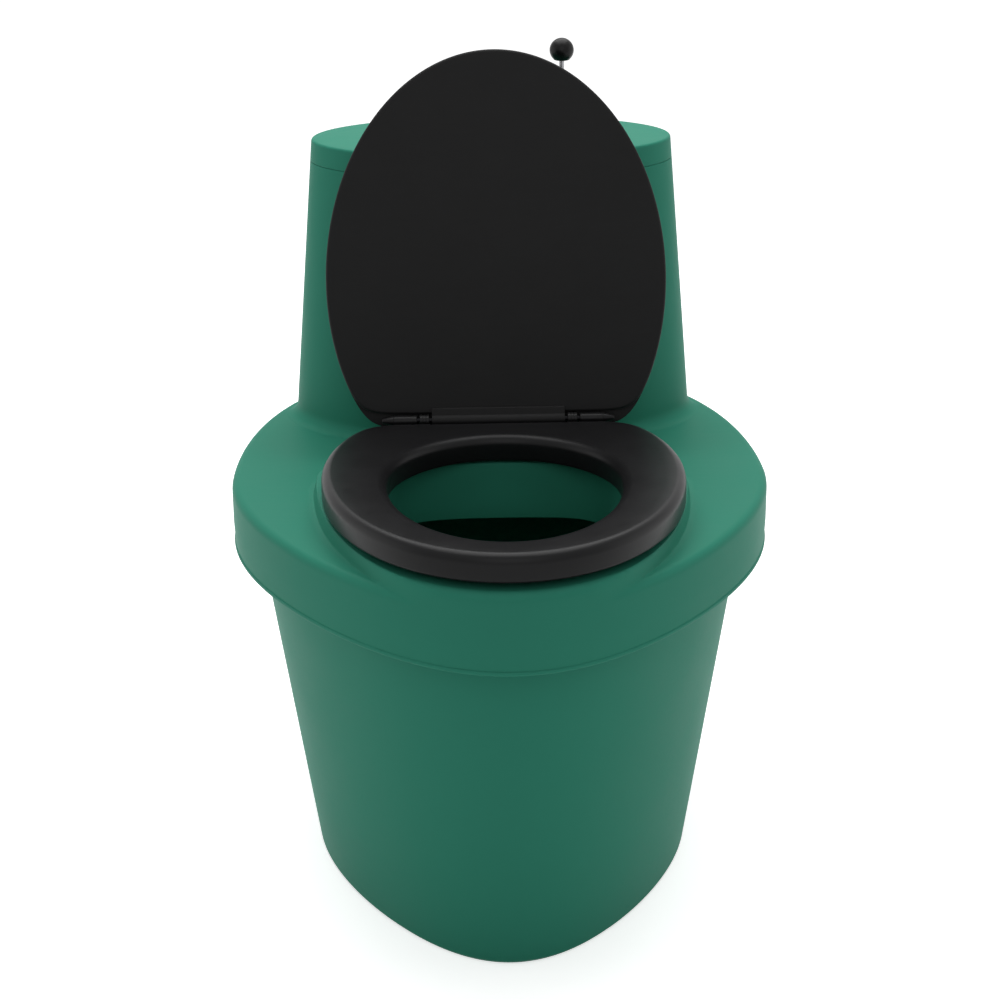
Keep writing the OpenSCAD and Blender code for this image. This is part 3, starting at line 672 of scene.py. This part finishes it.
def makeColumn():
    top, rim, wall = deck["top"], column["rim"], column["wall"]
    base = ovalLoop(columnOval(top), 0, top)
    edge = ovalLoop(coverOval, 0, 0, 2048)[:, :2]
    room = np.array([np.min(np.hypot(*(edge - p[:2]).T)) for p in base])
    fillet = np.clip(room - deck["edge"] - 0.5, 2.0, column["fillet"])
    run = np.roll(base[:, :2], -1, 0) - np.roll(base[:, :2], 1, 0)
    outward = np.column_stack([run[:, 1], -run[:, 0]]) / np.linalg.norm(run, axis=1)[:, None]
    lean = (column["footWidth"] - column["topWidth"]) / 2 / column["height"]
    loops = []
    for angle in np.radians(np.arange(0, 105, 15)):
        rise = fillet * (1 - math.cos(angle))
        flat = base[:, :2] + outward * (fillet * (1 - math.sin(angle)))[:, None]
        flat -= outward * (rise * lean)[:, None]
        loops.append(np.column_stack([flat, top - 0.05 + rise]))
    loops.insert(0, np.column_stack([loops[0][:, :2], np.full(len(base), top - 3.0)]))
    rebate, shelf = -column["rebate"], rim - column["flange"]
    sides = (top + 17, top + 60, 560, 650, rim - 8, rim - 2, rim - 0.8)
    loops += [ovalLoop(columnOval(z), 0, z) for z in sides]
    brim = ((-0.25, rim - 0.2), (-0.8, rim), (rebate, rim))
    loops += [ovalLoop(columnOval(rim), g, z) for g, z in brim]
    inside = ((rebate, shelf), (-wall, shelf), (-wall, 600), (-wall, top - 3))
    loops += [ovalLoop(columnOval(max(z, top)), g, z) for g, z in inside]
    return lofted("column", loops, hoop=True, crease=40.0)


def makeCover():
    shell = makeDeck()
    halfX, halfY = deck["floorHoleX"], deck["floorHoleY"]
    hole = box("floorHole", (-halfX, shaftY - halfY, 400), (halfX, shaftY + halfY, 450))
    combine(shell, [hole], crease=50.0)
    shell = together("cover", [shell, makeColumn()])
    return settle(shell, "green_shell", "cover", "cover")


makeCover()
print("cover made")


# chute: a flanged sleeve that hangs in the plinth under the seat's opening

chute = {"mouth": 4.0, "wall": 3.0, "flange": 12.0, "flangeHeight": 3.0, "top": 458.0,
         "drop": 61.0}


def makeChute():
    top, low, mouth = chute["top"], chute["top"] - chute["drop"], chute["mouth"]
    out, high = mouth + chute["wall"], top + chute["flangeHeight"]
    brim = out + chute["flange"]
    section = [
        (brim, top, 0.4), (brim, high, 1.2), (mouth, high, 2.5), (mouth - 1.5, top - 12, 0),
        (-0.5, top - 40, 0), (-2.0, low + 1, 0.8), (0.2, low, 0.8), (1.0, low, 0.6),
        (2.6, top - 40, 0), (out - 1, top - 10, 0), (out, top, 0.5)]
    return settle(ringed("chute", chuteOval, section), "green_shell", "cover", "chute")


makeChute()
print("chute made")


# litter bin: a funnel hung by its flange inside the column, with a round trough for the doser

litterBin = {
    "rimGap": 2.3, "clear": 2.0, "wall": 3.0, "turnRise": 75.0, "boxRise": 18.0,
    "sillDrop": 20.0, "floorDrop": 15.0, "narrowX": 22.0, "narrowY": 20.0, "trough": 75.0,
    "troughWall": 4.0, "troughHalf": 115.0, "slotHalf": 90.0, "slotAngle": 8.0, "bore": 9.25,
}


# points round a rectangle with rounded corners, in the same directions as an oval's points
def boxLoop(middle, halfX, halfY, height, count=aroundOval, power=14.0):
    turn = np.arange(count) * 2 * math.pi / count
    across, along = np.cos(turn), np.sin(turn)
    reach = ((np.abs(across) / halfX) ** power + (np.abs(along) / halfY) ** power) ** (-1 / power)
    return np.column_stack([reach * across, middle + reach * along, np.full(count, height)])


def makeLitterBin():
    shaft = (0, shaftY, shaftZ)
    rim, wall, gap = column["rim"], litterBin["wall"], -litterBin["rimGap"]
    mouth = columnOval(rim)
    narrow = oval(mouth["middle"], mouth["half"] - litterBin["narrowX"],
                  mouth["front"] - litterBin["narrowY"], mouth["rear"] - litterBin["narrowY"])
    out = -column["wall"] - litterBin["clear"]
    inset = out - wall
    shelf = rim - column["flange"]
    turnZ, boxZ = shaftZ + litterBin["turnRise"], shaftZ + litterBin["boxRise"]
    inR, inX = litterBin["trough"], litterBin["troughHalf"]
    outR, outX = inR + litterBin["troughWall"], inX + litterBin["troughWall"]

    def throat(halfX, halfY, drop, grow, section):
        loops = [boxLoop(shaftY, halfX, halfY, z) for z in (shaftZ - litterBin[drop], boxZ)]
        return loops + [ovalLoop(narrow, grow, turnZ)] + [ovalLoop(mouth, g, z) for g, z in section]

    def drum(name, radius, half, count=aroundLathe):
        return turned(name, [(radius, -half), (radius, half)], "x", shaft, count=count)

    outside = throat(outX, outR + 1, "sillDrop", 0, [
        (out, shelf - 1), (out, shelf + 0.2), (gap, shelf + 0.2), (gap, rim - 0.6),
        (gap - 0.6, rim), (out, rim)])
    shell = lofted("litterBin", outside, crease=30.0)
    combine(shell, [drum("trough", outR, outX - 1, 128)], "UNION", crease=30.0)
    inside = throat(inX, inR - 1, "floorDrop", -wall, [
        (inset, rim - 5), (inset + 0.3, rim - 1), (inset + 1.6, rim + 0.3)])
    slotX, slotY = litterBin["slotHalf"], inR * math.sin(math.radians(litterBin["slotAngle"]))
    slot = box("slot", (-slotX, shaftY - slotY, shaftZ - inR - 10),
               (slotX, shaftY + slotY, shaftZ - inR + 10))
    combine(shell, [lofted("hollow", inside), drum("round", inR, inX - 1, 128),
                    drum("bore", litterBin["bore"], 200), slot], crease=30.0)
    return settle(shell, "bin_plastic", "cover", "litter_bin")


makeLitterBin()
print("litter bin made")


# hopper lid: a shallow cap with a lip that drops into the bin, and a slot for the lever

hopperLid = {"seam": 0.3, "wall": 4.0, "edge": 3.0, "lip": 12.0, "lipGrow": -14.0,
             "lipWall": 3.0, "travel": 30.0, "slotWidth": 12.0}
lever = {"x": 82.0, "length": 374.0, "swing": 11.0, "rod": 3.0, "ball": 14.0,
         "rodFoot": 10.0, "flat": 0.82}


def makeHopperLid():
    wall, edge, travel = hopperLid["wall"], hopperLid["edge"], hopperLid["travel"]
    low, top = column["rim"] + hopperLid["seam"], column["lidTop"]
    section = rounded([
        (-100, top - wall, 0), (-wall, top - wall, 2.0), (-wall, low, 0.6), (0, low, 0.6),
        (0, low + 3, 0), (0, top - edge - 3, 0), (0, top, edge), (-12, top, 0),
        (-100, top, 0)], False, 6)
    cap = lofted("hopperLid", [ovalLoop(columnOval(z), g, z) for g, z in section], crease=40.0)
    outer, inner = hopperLid["lipGrow"], hopperLid["lipGrow"] - hopperLid["lipWall"]
    lipLow, lipTop = low - hopperLid["lip"], top - wall + 0.5
    lipSection = [(outer, lipLow, 0.8), (outer, lipTop, 0), (inner, lipTop, 0),
                  (inner, lipLow, 0.8)]
    lip = ringed("lip", columnOval(column["rim"]), lipSection)
    lean = math.asin(jointNamed("hopper_lid_lift")["axis"][1])
    reach = (top + travel - shaftZ) * math.tan(math.radians(lever["swing"]))
    reach += travel * math.sin(lean) + lever["rod"] + 2
    half = hopperLid["slotWidth"] / 2
    for piece in (cap, lip):
        slot = box("slot", (lever["x"] - half, shaftY - reach, 700), (lever["x"] + half, 400, 800))
        combine(piece, [slot], crease=40.0)
    whole = together("hopperLid", [cap, lip])
    return settle(whole, "green_shell", "hopper_lid", "hopper_lid")


makeHopperLid()
print("hopper lid made")


# lever: a plain rod with a ball knob that is flat underneath

def makeLever():
    foot, top = shaftZ + lever["rodFoot"], shaftZ + lever["length"]
    radius, thin = lever["ball"], lever["rod"]
    rodSection = [(pole, foot, 0), (thin, foot, 0.4), (thin, top - 1, 0.4), (pole, top - 1, 0)]
    rod = turned("leverRod", rodSection, "z", (lever["x"], shaftY, 0), count=32, steps=3)
    settle(rod, "rod_chrome", "lever", "lever_rod")
    flatZ = -radius * lever["flat"]
    flatEnd = math.sqrt(radius ** 2 - flatZ ** 2) - 1.4
    start = math.asin(flatZ / radius) + 0.14
    startR, startZ = radius * math.cos(start), radius * math.sin(start)
    section = [(thin + 0.1, flatZ + 1.2), (thin + 0.5, flatZ + 0.3), (thin + 1.2, flatZ),
               (flatEnd, flatZ)]
    for angle in np.array([0.25, 0.5, 0.75]) * math.pi / 2:
        section.append((between(flatEnd, startR, math.sin(angle)),
                        between(flatZ, startZ, 1 - math.cos(angle))))
    for angle in np.linspace(start, math.pi / 2 - 0.002, 27):
        section.append((radius * math.cos(angle), radius * math.sin(angle)))
    knob = turned("ballKnob", section, "z", (lever["x"], shaftY, top), count=64)
    settle(knob, "knob_black", "lever", "ball_knob")


makeLever()
print("lever made")


# seat: a moulded ring with hinge barrels, and the lid that leans open behind it

seat = {"low": 465.0, "top": 495.0, "barrelIn": 92.0, "barrelOut": 118.0, "barrel": 6.0,
        "pin": 3.0, "blockHalf": 75.0, "blockReach": 14.0}
seatMiddle = -135.0
seatOval = oval(seatMiddle, 194, 256, 228, backLimit=hingeY - seatMiddle - 7.5)
lidOval = oval(seatMiddle, 191, 255.5, 253, backLimit=hingeY - seatMiddle - 7.0)
lidSkinOval = oval(seatMiddle, 191, 255.5, 253, backLimit=hingeY - seatMiddle + 10.0)


def makeSeatRing():
    low, top, size, bore = seat["low"], seat["top"], seat["barrel"], seat["pin"] + snug
    start, end = seat["barrelIn"], seat["barrelOut"]
    inner = rounded([(17, low, 0), (0, low, 3), (0, top - 1.2, 10.7), (22, top - 0.6, 0)],
                    False, 10)
    outer = rounded([(-22, top - 0.4, 0), (0, top, 10.5), (0, low, 4), (-19, low, 0)], False, 10)
    innerLoops = [ovalLoop(openingOval, g, z) for g, z in inner]
    outerLoops = [ovalLoop(seatOval, min(g, 0), z) for g, z in outer]
    acrossTop = [between(innerLoops[-1], outerLoops[0], share) for share in (0.33, 0.67)]
    underneath = [between(outerLoops[-1], innerLoops[0], share) for share in (0.33, 0.67)]
    loops = innerLoops + acrossTop + outerLoops + underneath
    ring = lofted("seatRing", loops, hoop=True, crease=45.0)
    half, reach = seat["blockHalf"] + 2, seat["blockReach"] + 3.5
    notch = box("notch", (-half, hingeY - reach, hingeZ - 8), (half, hingeY + 12, hingeZ + 22))
    combine(ring, [notch], crease=38.0)
    barrelSection = [(bore, start, 0.3), (size, start, 0.8), (size, end, 0.4), (bore, end, 0.3)]
    barrel = turned("barrel", barrelSection, "x", (0, hingeY, hingeZ), hollow=True)
    foot, head = hingeZ - size, hingeZ - 2.4
    lugSide = rounded([(hingeY - 16, foot, 1), (hingeY - 2, foot, 1), (hingeY - 2, head, 1),
                       (hingeY - 16, head, 0.4)], True, 4)
    lug = barAlong("lug", lugSide, start + 0.2, end - 0.2, 0.8)
    parts = [ring, mirroredCopy("barrelLeft", barrel), mirroredCopy("lugLeft", lug), barrel, lug]
    return settle(together("seatRing", parts), "seat_black", "seat", "seat_ring")


def makeHingeCaps():
    start, pin = seat["barrelOut"], seat["pin"]
    section = [(pole, start - 4, 0), (pin, start - 4, 0.4), (pin, start, 0),
               (seat["barrel"], start + 0.05, 0.5), (2.6, start + 13, 1.2),
               (pole, start + 13, 0)]
    cap = turned("hingeCap", section, "x", (0, hingeY, hingeZ))
    caps = together("hingeCaps", [mirroredCopy("capLeft", cap), cap])
    return settle(caps, "seat_black", "seat", "hinge_caps")


# a ribbed ring round the pin, on a short post with a round foot and a threaded stud
post = {"x": 83.5, "ring": 6.75, "ringWidth": 10.4, "rib": 0.55, "ribs": 3, "gapShare": 0.22,
        "stem": 5.0, "foot": 12.0, "footLow": 459.5, "footHeight": 3.0, "stud": 4.0,
        "studLow": 432.0, "pitch": 1.25, "thread": 0.45}


def makeHingePosts():
    half, bore, size = post["ringWidth"] / 2, seat["pin"] + snug, post["ring"]
    ribWidth = post["ringWidth"] / post["ribs"]
    gap = ribWidth * post["gapShare"]
    last = post["ribs"] - 1
    corners = [(bore, -half, 0)]
    for rib in range(post["ribs"]):
        low = -half + rib * ribWidth
        cutLow = low + (gap / 2 if rib else 0)
        cutHigh = low + ribWidth - (gap / 2 if rib < last else 0)
        corners += [(size, cutLow, 0.4), (size, cutHigh, 0.4)]
        if rib < last:
            corners += [(size - post["rib"], cutHigh + 0.05, 0),
                        (size - post["rib"], cutHigh + gap - 0.05, 0)]
    corners.append((bore, half, 0))
    ring = turned("ring", corners, "x", (post["x"], hingeY, hingeZ), hollow=True, crease=38.0,
                  steps=3)
    footLow, footTop = post["footLow"], post["footLow"] + post["footHeight"]
    stemTop = hingeZ - seat["pin"] - 1
    stem = [(pole, footLow, 0), (post["foot"], footLow, 0.4), (post["foot"], footTop, 1.0),
            (post["stem"], footTop, 2.0), (post["stem"], stemTop, 0), (pole, stemTop, 0)]
    stemPiece = turned("stem", stem, "z", (post["x"], hingeY, 0))
    crest, height = post["stud"], post["studLow"]
    stud = [(pole, height), (crest - 0.8, height)]
    height += 0.8
    while height < footLow:
        stud += [(crest, height), (crest - post["thread"], height + post["pitch"] / 2)]
        height += post["pitch"]
    stud += [(crest - 0.5, footLow + 0.5), (pole, footLow + 0.5)]
    studPiece = turned("stud", stud, "z", (post["x"], hingeY, 0), count=32, crease=20.0)
    right = together("hingePostRight", [ring, stemPiece, studPiece])
    left = mirroredCopy("hingePostLeft", right)
    settle(right, "seat_black", "cover", "hinge_post_right")
    settle(left, "seat_black", "cover", "hinge_post_left")


lid = {"lift": 1.8, "thickness": 12.5, "edge": 3.2, "barrel": 6.75, "plate": -3.4,
       "blockTop": 8.5, "skin": 9.5}


# made lying shut with its hinge line at height 0, then raised about that line
def makeSeatLid():
    low, high, skin = lid["lift"], lid["lift"] + lid["thickness"], lid["skin"]
    under = rounded([(-40, low, 0), (-9, low, 0), (0, low, lid["edge"]), (0, skin - 0.4, 0)],
                    False, 8)
    over = rounded([(-0.6, skin - 0.1, 0), (0, skin, 0.6), (0, high - 1.2, 3.4),
                    (-40, high, 60), (-150, high, 0)], False, 8)
    loops = [ovalLoop(lidOval, g, z) for g, z in under]
    loops += [ovalLoop(lidSkinOval, g, z) for g, z in over]
    panel = lofted("seatLid", loops, crease=40.0)
    radius, reach, plate, top = lid["barrel"], seat["blockReach"], lid["plate"], lid["blockTop"]
    side = [(radius * math.sin(a), radius * math.cos(a))
            for a in np.linspace(0.9, math.pi + 1.03, 34)]
    side += rounded([(-6.4, plate, 0), (-reach, plate, 1.0), (-reach, top, 0.6), (0, top, 0)],
                    False, 5)
    outline = [(hingeY + y, z) for y, z in side]
    block = barAlong("block", outline, -seat["blockHalf"], seat["blockHalf"], 1.0, 30.0)
    whole = together("seatLid", [panel, block])
    lean = jointNamed("lid_hinge")["range_deg"][1]
    turn = Matrix.Rotation(math.radians(-lean), 4, "X")
    whole.data.transform(moved((0, hingeY, hingeZ)) @ turn @ moved((0, -hingeY, 0)))
    return settle(whole, "lid_black", "lid", "seat_lid")


makeSeatRing()
makeHingeCaps()
makeHingePosts()
makeSeatLid()
print("seat, hinges and lid made")


# fittings at the back: the vent collar, the drain spigot and their gaskets

fitting = {"gasket": 2.0, "flange": 4.0, "ventWall": 2.5, "ventLength": 45.0,
           "ventFlange": 50.5, "ventInside": 22.0, "spigot": 11.0, "tail": 9.5,
           "tailLength": 38.0, "lead": 5.0, "spigotFlange": 22.0, "spigotBore": 7.0,
           "spigotInside": 14.0, "drainSeal": 23.0}


def makeGasket(name, node, bore, size, face, height, count=aroundLathe):
    bore += 0.5
    outer = face + fitting["gasket"]
    section = [(bore, face, 0.3), (size, face, 0.5), (size, outer, 0.5), (bore, outer, 0.3)]
    seal = turned(name, section, "y", (0, 0, height), hollow=True, count=count, steps=3)
    settle(seal, "rubber", "container", node)


def makeVent():
    radius, size, z = tub["ventRadius"], fitting["ventFlange"], tub["ventHeight"]
    bore, inside = radius - fitting["ventWall"], tubRear(z) - fitting["ventInside"]
    face = ventFace + fitting["gasket"]
    back = face + fitting["flange"]
    end = back + fitting["ventLength"]
    section = [
        (bore, inside, 0.6), (radius, inside, 0.6), (radius, face, 0), (size, face, 0.4),
        (size, back, 1.2), (radius, back, 2.0), (radius, end, 0.9), (bore, end, 0.9)]
    collar = turned("ventCollar", section, "y", (0, 0, z), hollow=True, count=96, crease=38.0)
    settle(collar, "black_plastic", "container", "vent_collar")
    makeGasket("ventGasket", "vent_gasket", radius, size, ventFace, z, 96)


def makeDrain():
    radius, size, z = fitting["spigot"], fitting["spigotFlange"], tub["drainHeight"]
    bore, tail = fitting["spigotBore"], fitting["tail"]
    inside, face = drainInner - fitting["spigotInside"], drainFace + fitting["gasket"]
    back = face + fitting["flange"]
    end = back + fitting["tailLength"]
    section = [
        (bore, inside, 0.4), (radius, inside, 0.8), (radius, face, 0), (size, face, 0.4),
        (size, back, 1.2), (tail, back, 1.5), (tail, end - fitting["lead"], 0.5),
        (tail - 0.8, end, 0.4), (bore, end, 0.5)]
    spigot = turned("drainSpigot", section, "y", (0, 0, z), hollow=True, crease=38.0)
    settle(spigot, "black_plastic", "container", "drain_spigot")
    makeGasket("drainGasket", "drain_gasket", radius, fitting["drainSeal"], drainFace, z)


makeVent()
makeDrain()
print("vent and drain made")


# pan-head screws with a cross recess

# each size is a head's height and a shank's length
screw = {"head": 4.0, "shank": 2.0, "recess": 1.3, "recessWidth": 0.8, "recessLength": 4.2,
         "turn": 37, "firstTurn": 20, "ventRing": 7.0, "deflectorX": 130.0,
         "ventSize": (2.4, 14.0), "chuteSize": (2.0, 8.0), "deflectorSize": (2.4, 8.0)}


def panScrew(height, length):
    head, shank = screw["head"], screw["shank"]
    section = [(pole, height, 0), (head * 0.55, height, 2.0), (head, height * 0.35, 0.8),
               (head, 0, 0.2), (shank, 0, 0), (shank, -length + 1, 0.4), (pole, -length, 0)]
    body = turned("pattern", section, "z", count=32)
    long, wide = screw["recessLength"] / 2, screw["recessWidth"] / 2
    deep = height - screw["recess"]
    slots = [box("slotA", (-long, -wide, deep), (long, wide, height + 1)),
             box("slotB", (-wide, -long, deep), (wide, long, height + 1))]
    return combine(body, slots)


# screws at places, each turned a little further than the one before
def screwSet(name, places, turn, size, body, node):
    pattern = panScrew(*size)
    copies = []
    for index, place in enumerate(places):
        mesh = pattern.data.copy()
        angle = math.radians(screw["firstTurn"] + screw["turn"] * index)
        spin = Matrix.Rotation(angle, 4, "Z")
        mesh.transform(moved(place) @ turn @ spin)
        copies.append(placed(name, mesh))
    bpy.data.objects.remove(pattern)
    return settle(together(name, copies), "steel", body, node)


def makeScrews():
    ring = tub["ventRadius"] + screw["ventRing"]
    back = ventFace + fitting["gasket"] + fitting["flange"]
    corners = [math.radians(a) for a in (45, 135, 225, 315)]
    ventPlaces = [(ring * math.cos(a), back, tub["ventHeight"] + ring * math.sin(a))
                  for a in corners]
    backwards, downwards = (Matrix.Rotation(math.radians(a), 4, "X") for a in (-90, 180))
    screwSet("ventScrews", ventPlaces, backwards, screw["ventSize"], "container", "vent_screws")
    flangeRing = ovalLoop(chuteOval, 13, chute["top"] + chute["flangeHeight"], 64)
    chutePlaces = [tuple(flangeRing[k]) for k in (7, 25, 39, 57)]
    upwards = Matrix.Identity(4)
    screwSet("chuteScrews", chutePlaces, upwards, screw["chuteSize"], "cover", "chute_screws")
    low = deck["top"] - deck["wall"] - 3.0
    underPlaces = [(x * screw["deflectorX"], column["middle"] + y * deck["floorHoleY"] * 0.7, low)
                   for x in (-1, 1) for y in (-1, 1)]
    screwSet("deflectorScrews", underPlaces, downwards, screw["deflectorSize"], "cover",
             "deflector_screws")


makeScrews()
print("screws made")


# soft and rubber pieces: the rim seal, the seat's bumpers, the post washers and the felt mat

soft = {"sealThickness": 8.0, "matLow": 70.0, "matThickness": 6.0, "matFill": 0.3,
        "bumper": 9.0, "bumperHeight": 7.0, "washer": 13.0, "washerThickness": 1.5}


def makeRimSeal():
    low = tub["height"]
    high = low + soft["sealThickness"]
    section = [(5, low, 1.0), (5, high, 2.5), (-6, high, 2.5), (-6, low, 1.0)]
    ring = ringed("rimSeal", tubOval(low), section, 5)
    return settle(ring, "rubber", "container", "rim_seal")


def makeMat():
    low, high = soft["matLow"], soft["matLow"] + soft["matThickness"]
    section = rounded([(-60, low, 0), (-11, low, 1.5), (-11, high, 2.4), (-14, high, 0),
                       (-60, high, 0)], False, 4)
    loops = [ovalLoop(tubOval(low), g, z) for g, z in section]
    centre = np.array([[0, 0, high]])
    loops += [between(loops[-1], centre, share) for share in (0.25, 0.5, 0.75, 0.97)]
    mat = lofted("filterMat", loops, crease=50.0)
    settle(mat, "mat_felt", "container", "filter_mat")
    return mat


def makeBumpers():
    ring = ovalLoop(seatOval, -24, 0, 64)
    size, top = soft["bumper"], seat["low"]
    low = top - soft["bumperHeight"]
    section = [(pole, low, 0), (size, low, 1.5), (size, top, 0.6), (3, top, 0),
               (3, top + 5, 0.5), (pole, top + 5, 0)]
    feet = [turned("bumper", section, "z", (ring[k][0], ring[k][1], 0), count=40)
            for k in (3, 29, 39, 57)]
    return settle(together("seatBumpers", feet), "rubber", "seat", "seat_bumpers")


def makeWashers():
    bore, size = post["stud"] + snug, soft["washer"]
    low, high = chute["top"], chute["top"] + soft["washerThickness"]
    section = [(bore, low, 0.2), (size, low, 0.4), (size, high, 0.5), (bore, high, 0.2)]
    rings = [turned("washer", section, "z", (x, hingeY, 0), hollow=True, steps=3)
             for x in (-post["x"], post["x"])]
    return settle(together("postWashers", rings), "rubber", "cover", "post_washers")


makeRimSeal()
makeMat()
makeBumpers()
makeWashers()
print("soft pieces made")


# floor, light and white surroundings

studio = {"floor": 30.0, "floorTone": 0.92, "glowNear": 0.64, "glowFar": 0.82, "nearEnd": 0.6,
          "farStart": 2.4, "sky": 0.25}
softBoxes = {
    "softBoxTop": {"place": (0.0, 0.9, 3.2), "size": 3.0, "power": 98.0},
    "softBoxFront": {"place": (0.0, -2.3, 1.9), "size": 1.8, "power": 7.5},
    "softBoxLeft": {"place": (-2.6, 0.1, 0.9), "size": 2.0, "power": 9.0},
    "softBoxRight": {"place": (2.6, 0.1, 0.9), "size": 2.0, "power": 8.5},
}
lampAim = (0.0, 0.0, 0.45)


# an emptied node tree, and 1 where the camera sees it directly, in a gloss or through a pane
def startSurround(owner):
    owner.use_nodes = True
    tree = owner.node_tree
    tree.nodes.clear()
    path = addNode(tree, "ShaderNodeLightPath").outputs
    seen = maths(tree, "MAXIMUM", path["Is Camera Ray"], path["Is Glossy Ray"])
    return tree, maths(tree, "MAXIMUM", seen, path["Is Transmission Ray"])


# a pale sheet that glows more with distance, so that it ends in white but keeps a shadow
def makeFloor():
    size = studio["floor"] / 2 / millimetre
    corners = [(-size, -size, 0), (size, -size, 0), (size, size, 0), (-size, size, 0)]
    floor = newPiece("floor", corners, [(0, 1, 2, 3)])
    material = bpy.data.materials.new("floorSheet")
    tree, seen = startSurround(material)
    tone = studio["floorTone"]
    paper = addNode(tree, "ShaderNodeBsdfDiffuse", {"Color": (tone, tone, tone, 1)})
    place = addNode(tree, "ShaderNodeTexCoord").outputs["Object"]
    away = addNode(tree, "ShaderNodeVectorMath", {0: place}, operation="LENGTH")
    level = ramp(tree, away.outputs["Value"], studio["glowNear"], studio["glowFar"],
                 studio["nearEnd"], studio["farStart"])
    glow = addNode(tree, "ShaderNodeEmission", {
        "Color": (1, 1, 1, 1), "Strength": maths(tree, "MULTIPLY", seen, level)})
    both = addNode(tree, "ShaderNodeAddShader", {0: paper.outputs[0], 1: glow.outputs[0]})
    addNode(tree, "ShaderNodeOutputMaterial", {"Surface": both.outputs[0]})
    floor.data.materials.append(material)


def makeSky():
    world = bpy.data.worlds.new("surroundings")
    bpy.context.scene.world = world
    tree, seen = startSurround(world)
    sky = addNode(tree, "ShaderNodeBackground", {
        "Color": (1, 1, 1, 1), "Strength": ramp(tree, seen, studio["sky"], 1.0)})
    addNode(tree, "ShaderNodeOutputWorld", {"Surface": sky.outputs[0]})


def makeLamps():
    for name, softBox in softBoxes.items():
        lamp = bpy.data.lights.new(name, "AREA")
        lamp.shape = "SQUARE"
        lamp.size = softBox["size"]
        lamp.energy = softBox["power"]
        holder = placed(name, lamp)
        holder.location = softBox["place"]
        aim = Vector(lampAim) - Vector(softBox["place"])
        holder.rotation_euler = aim.to_track_quat("-Z", "Y").to_euler()


makeFloor()
makeSky()
makeLamps()
bpy.context.scene.view_settings.view_transform = "Standard"
print("studio ready")
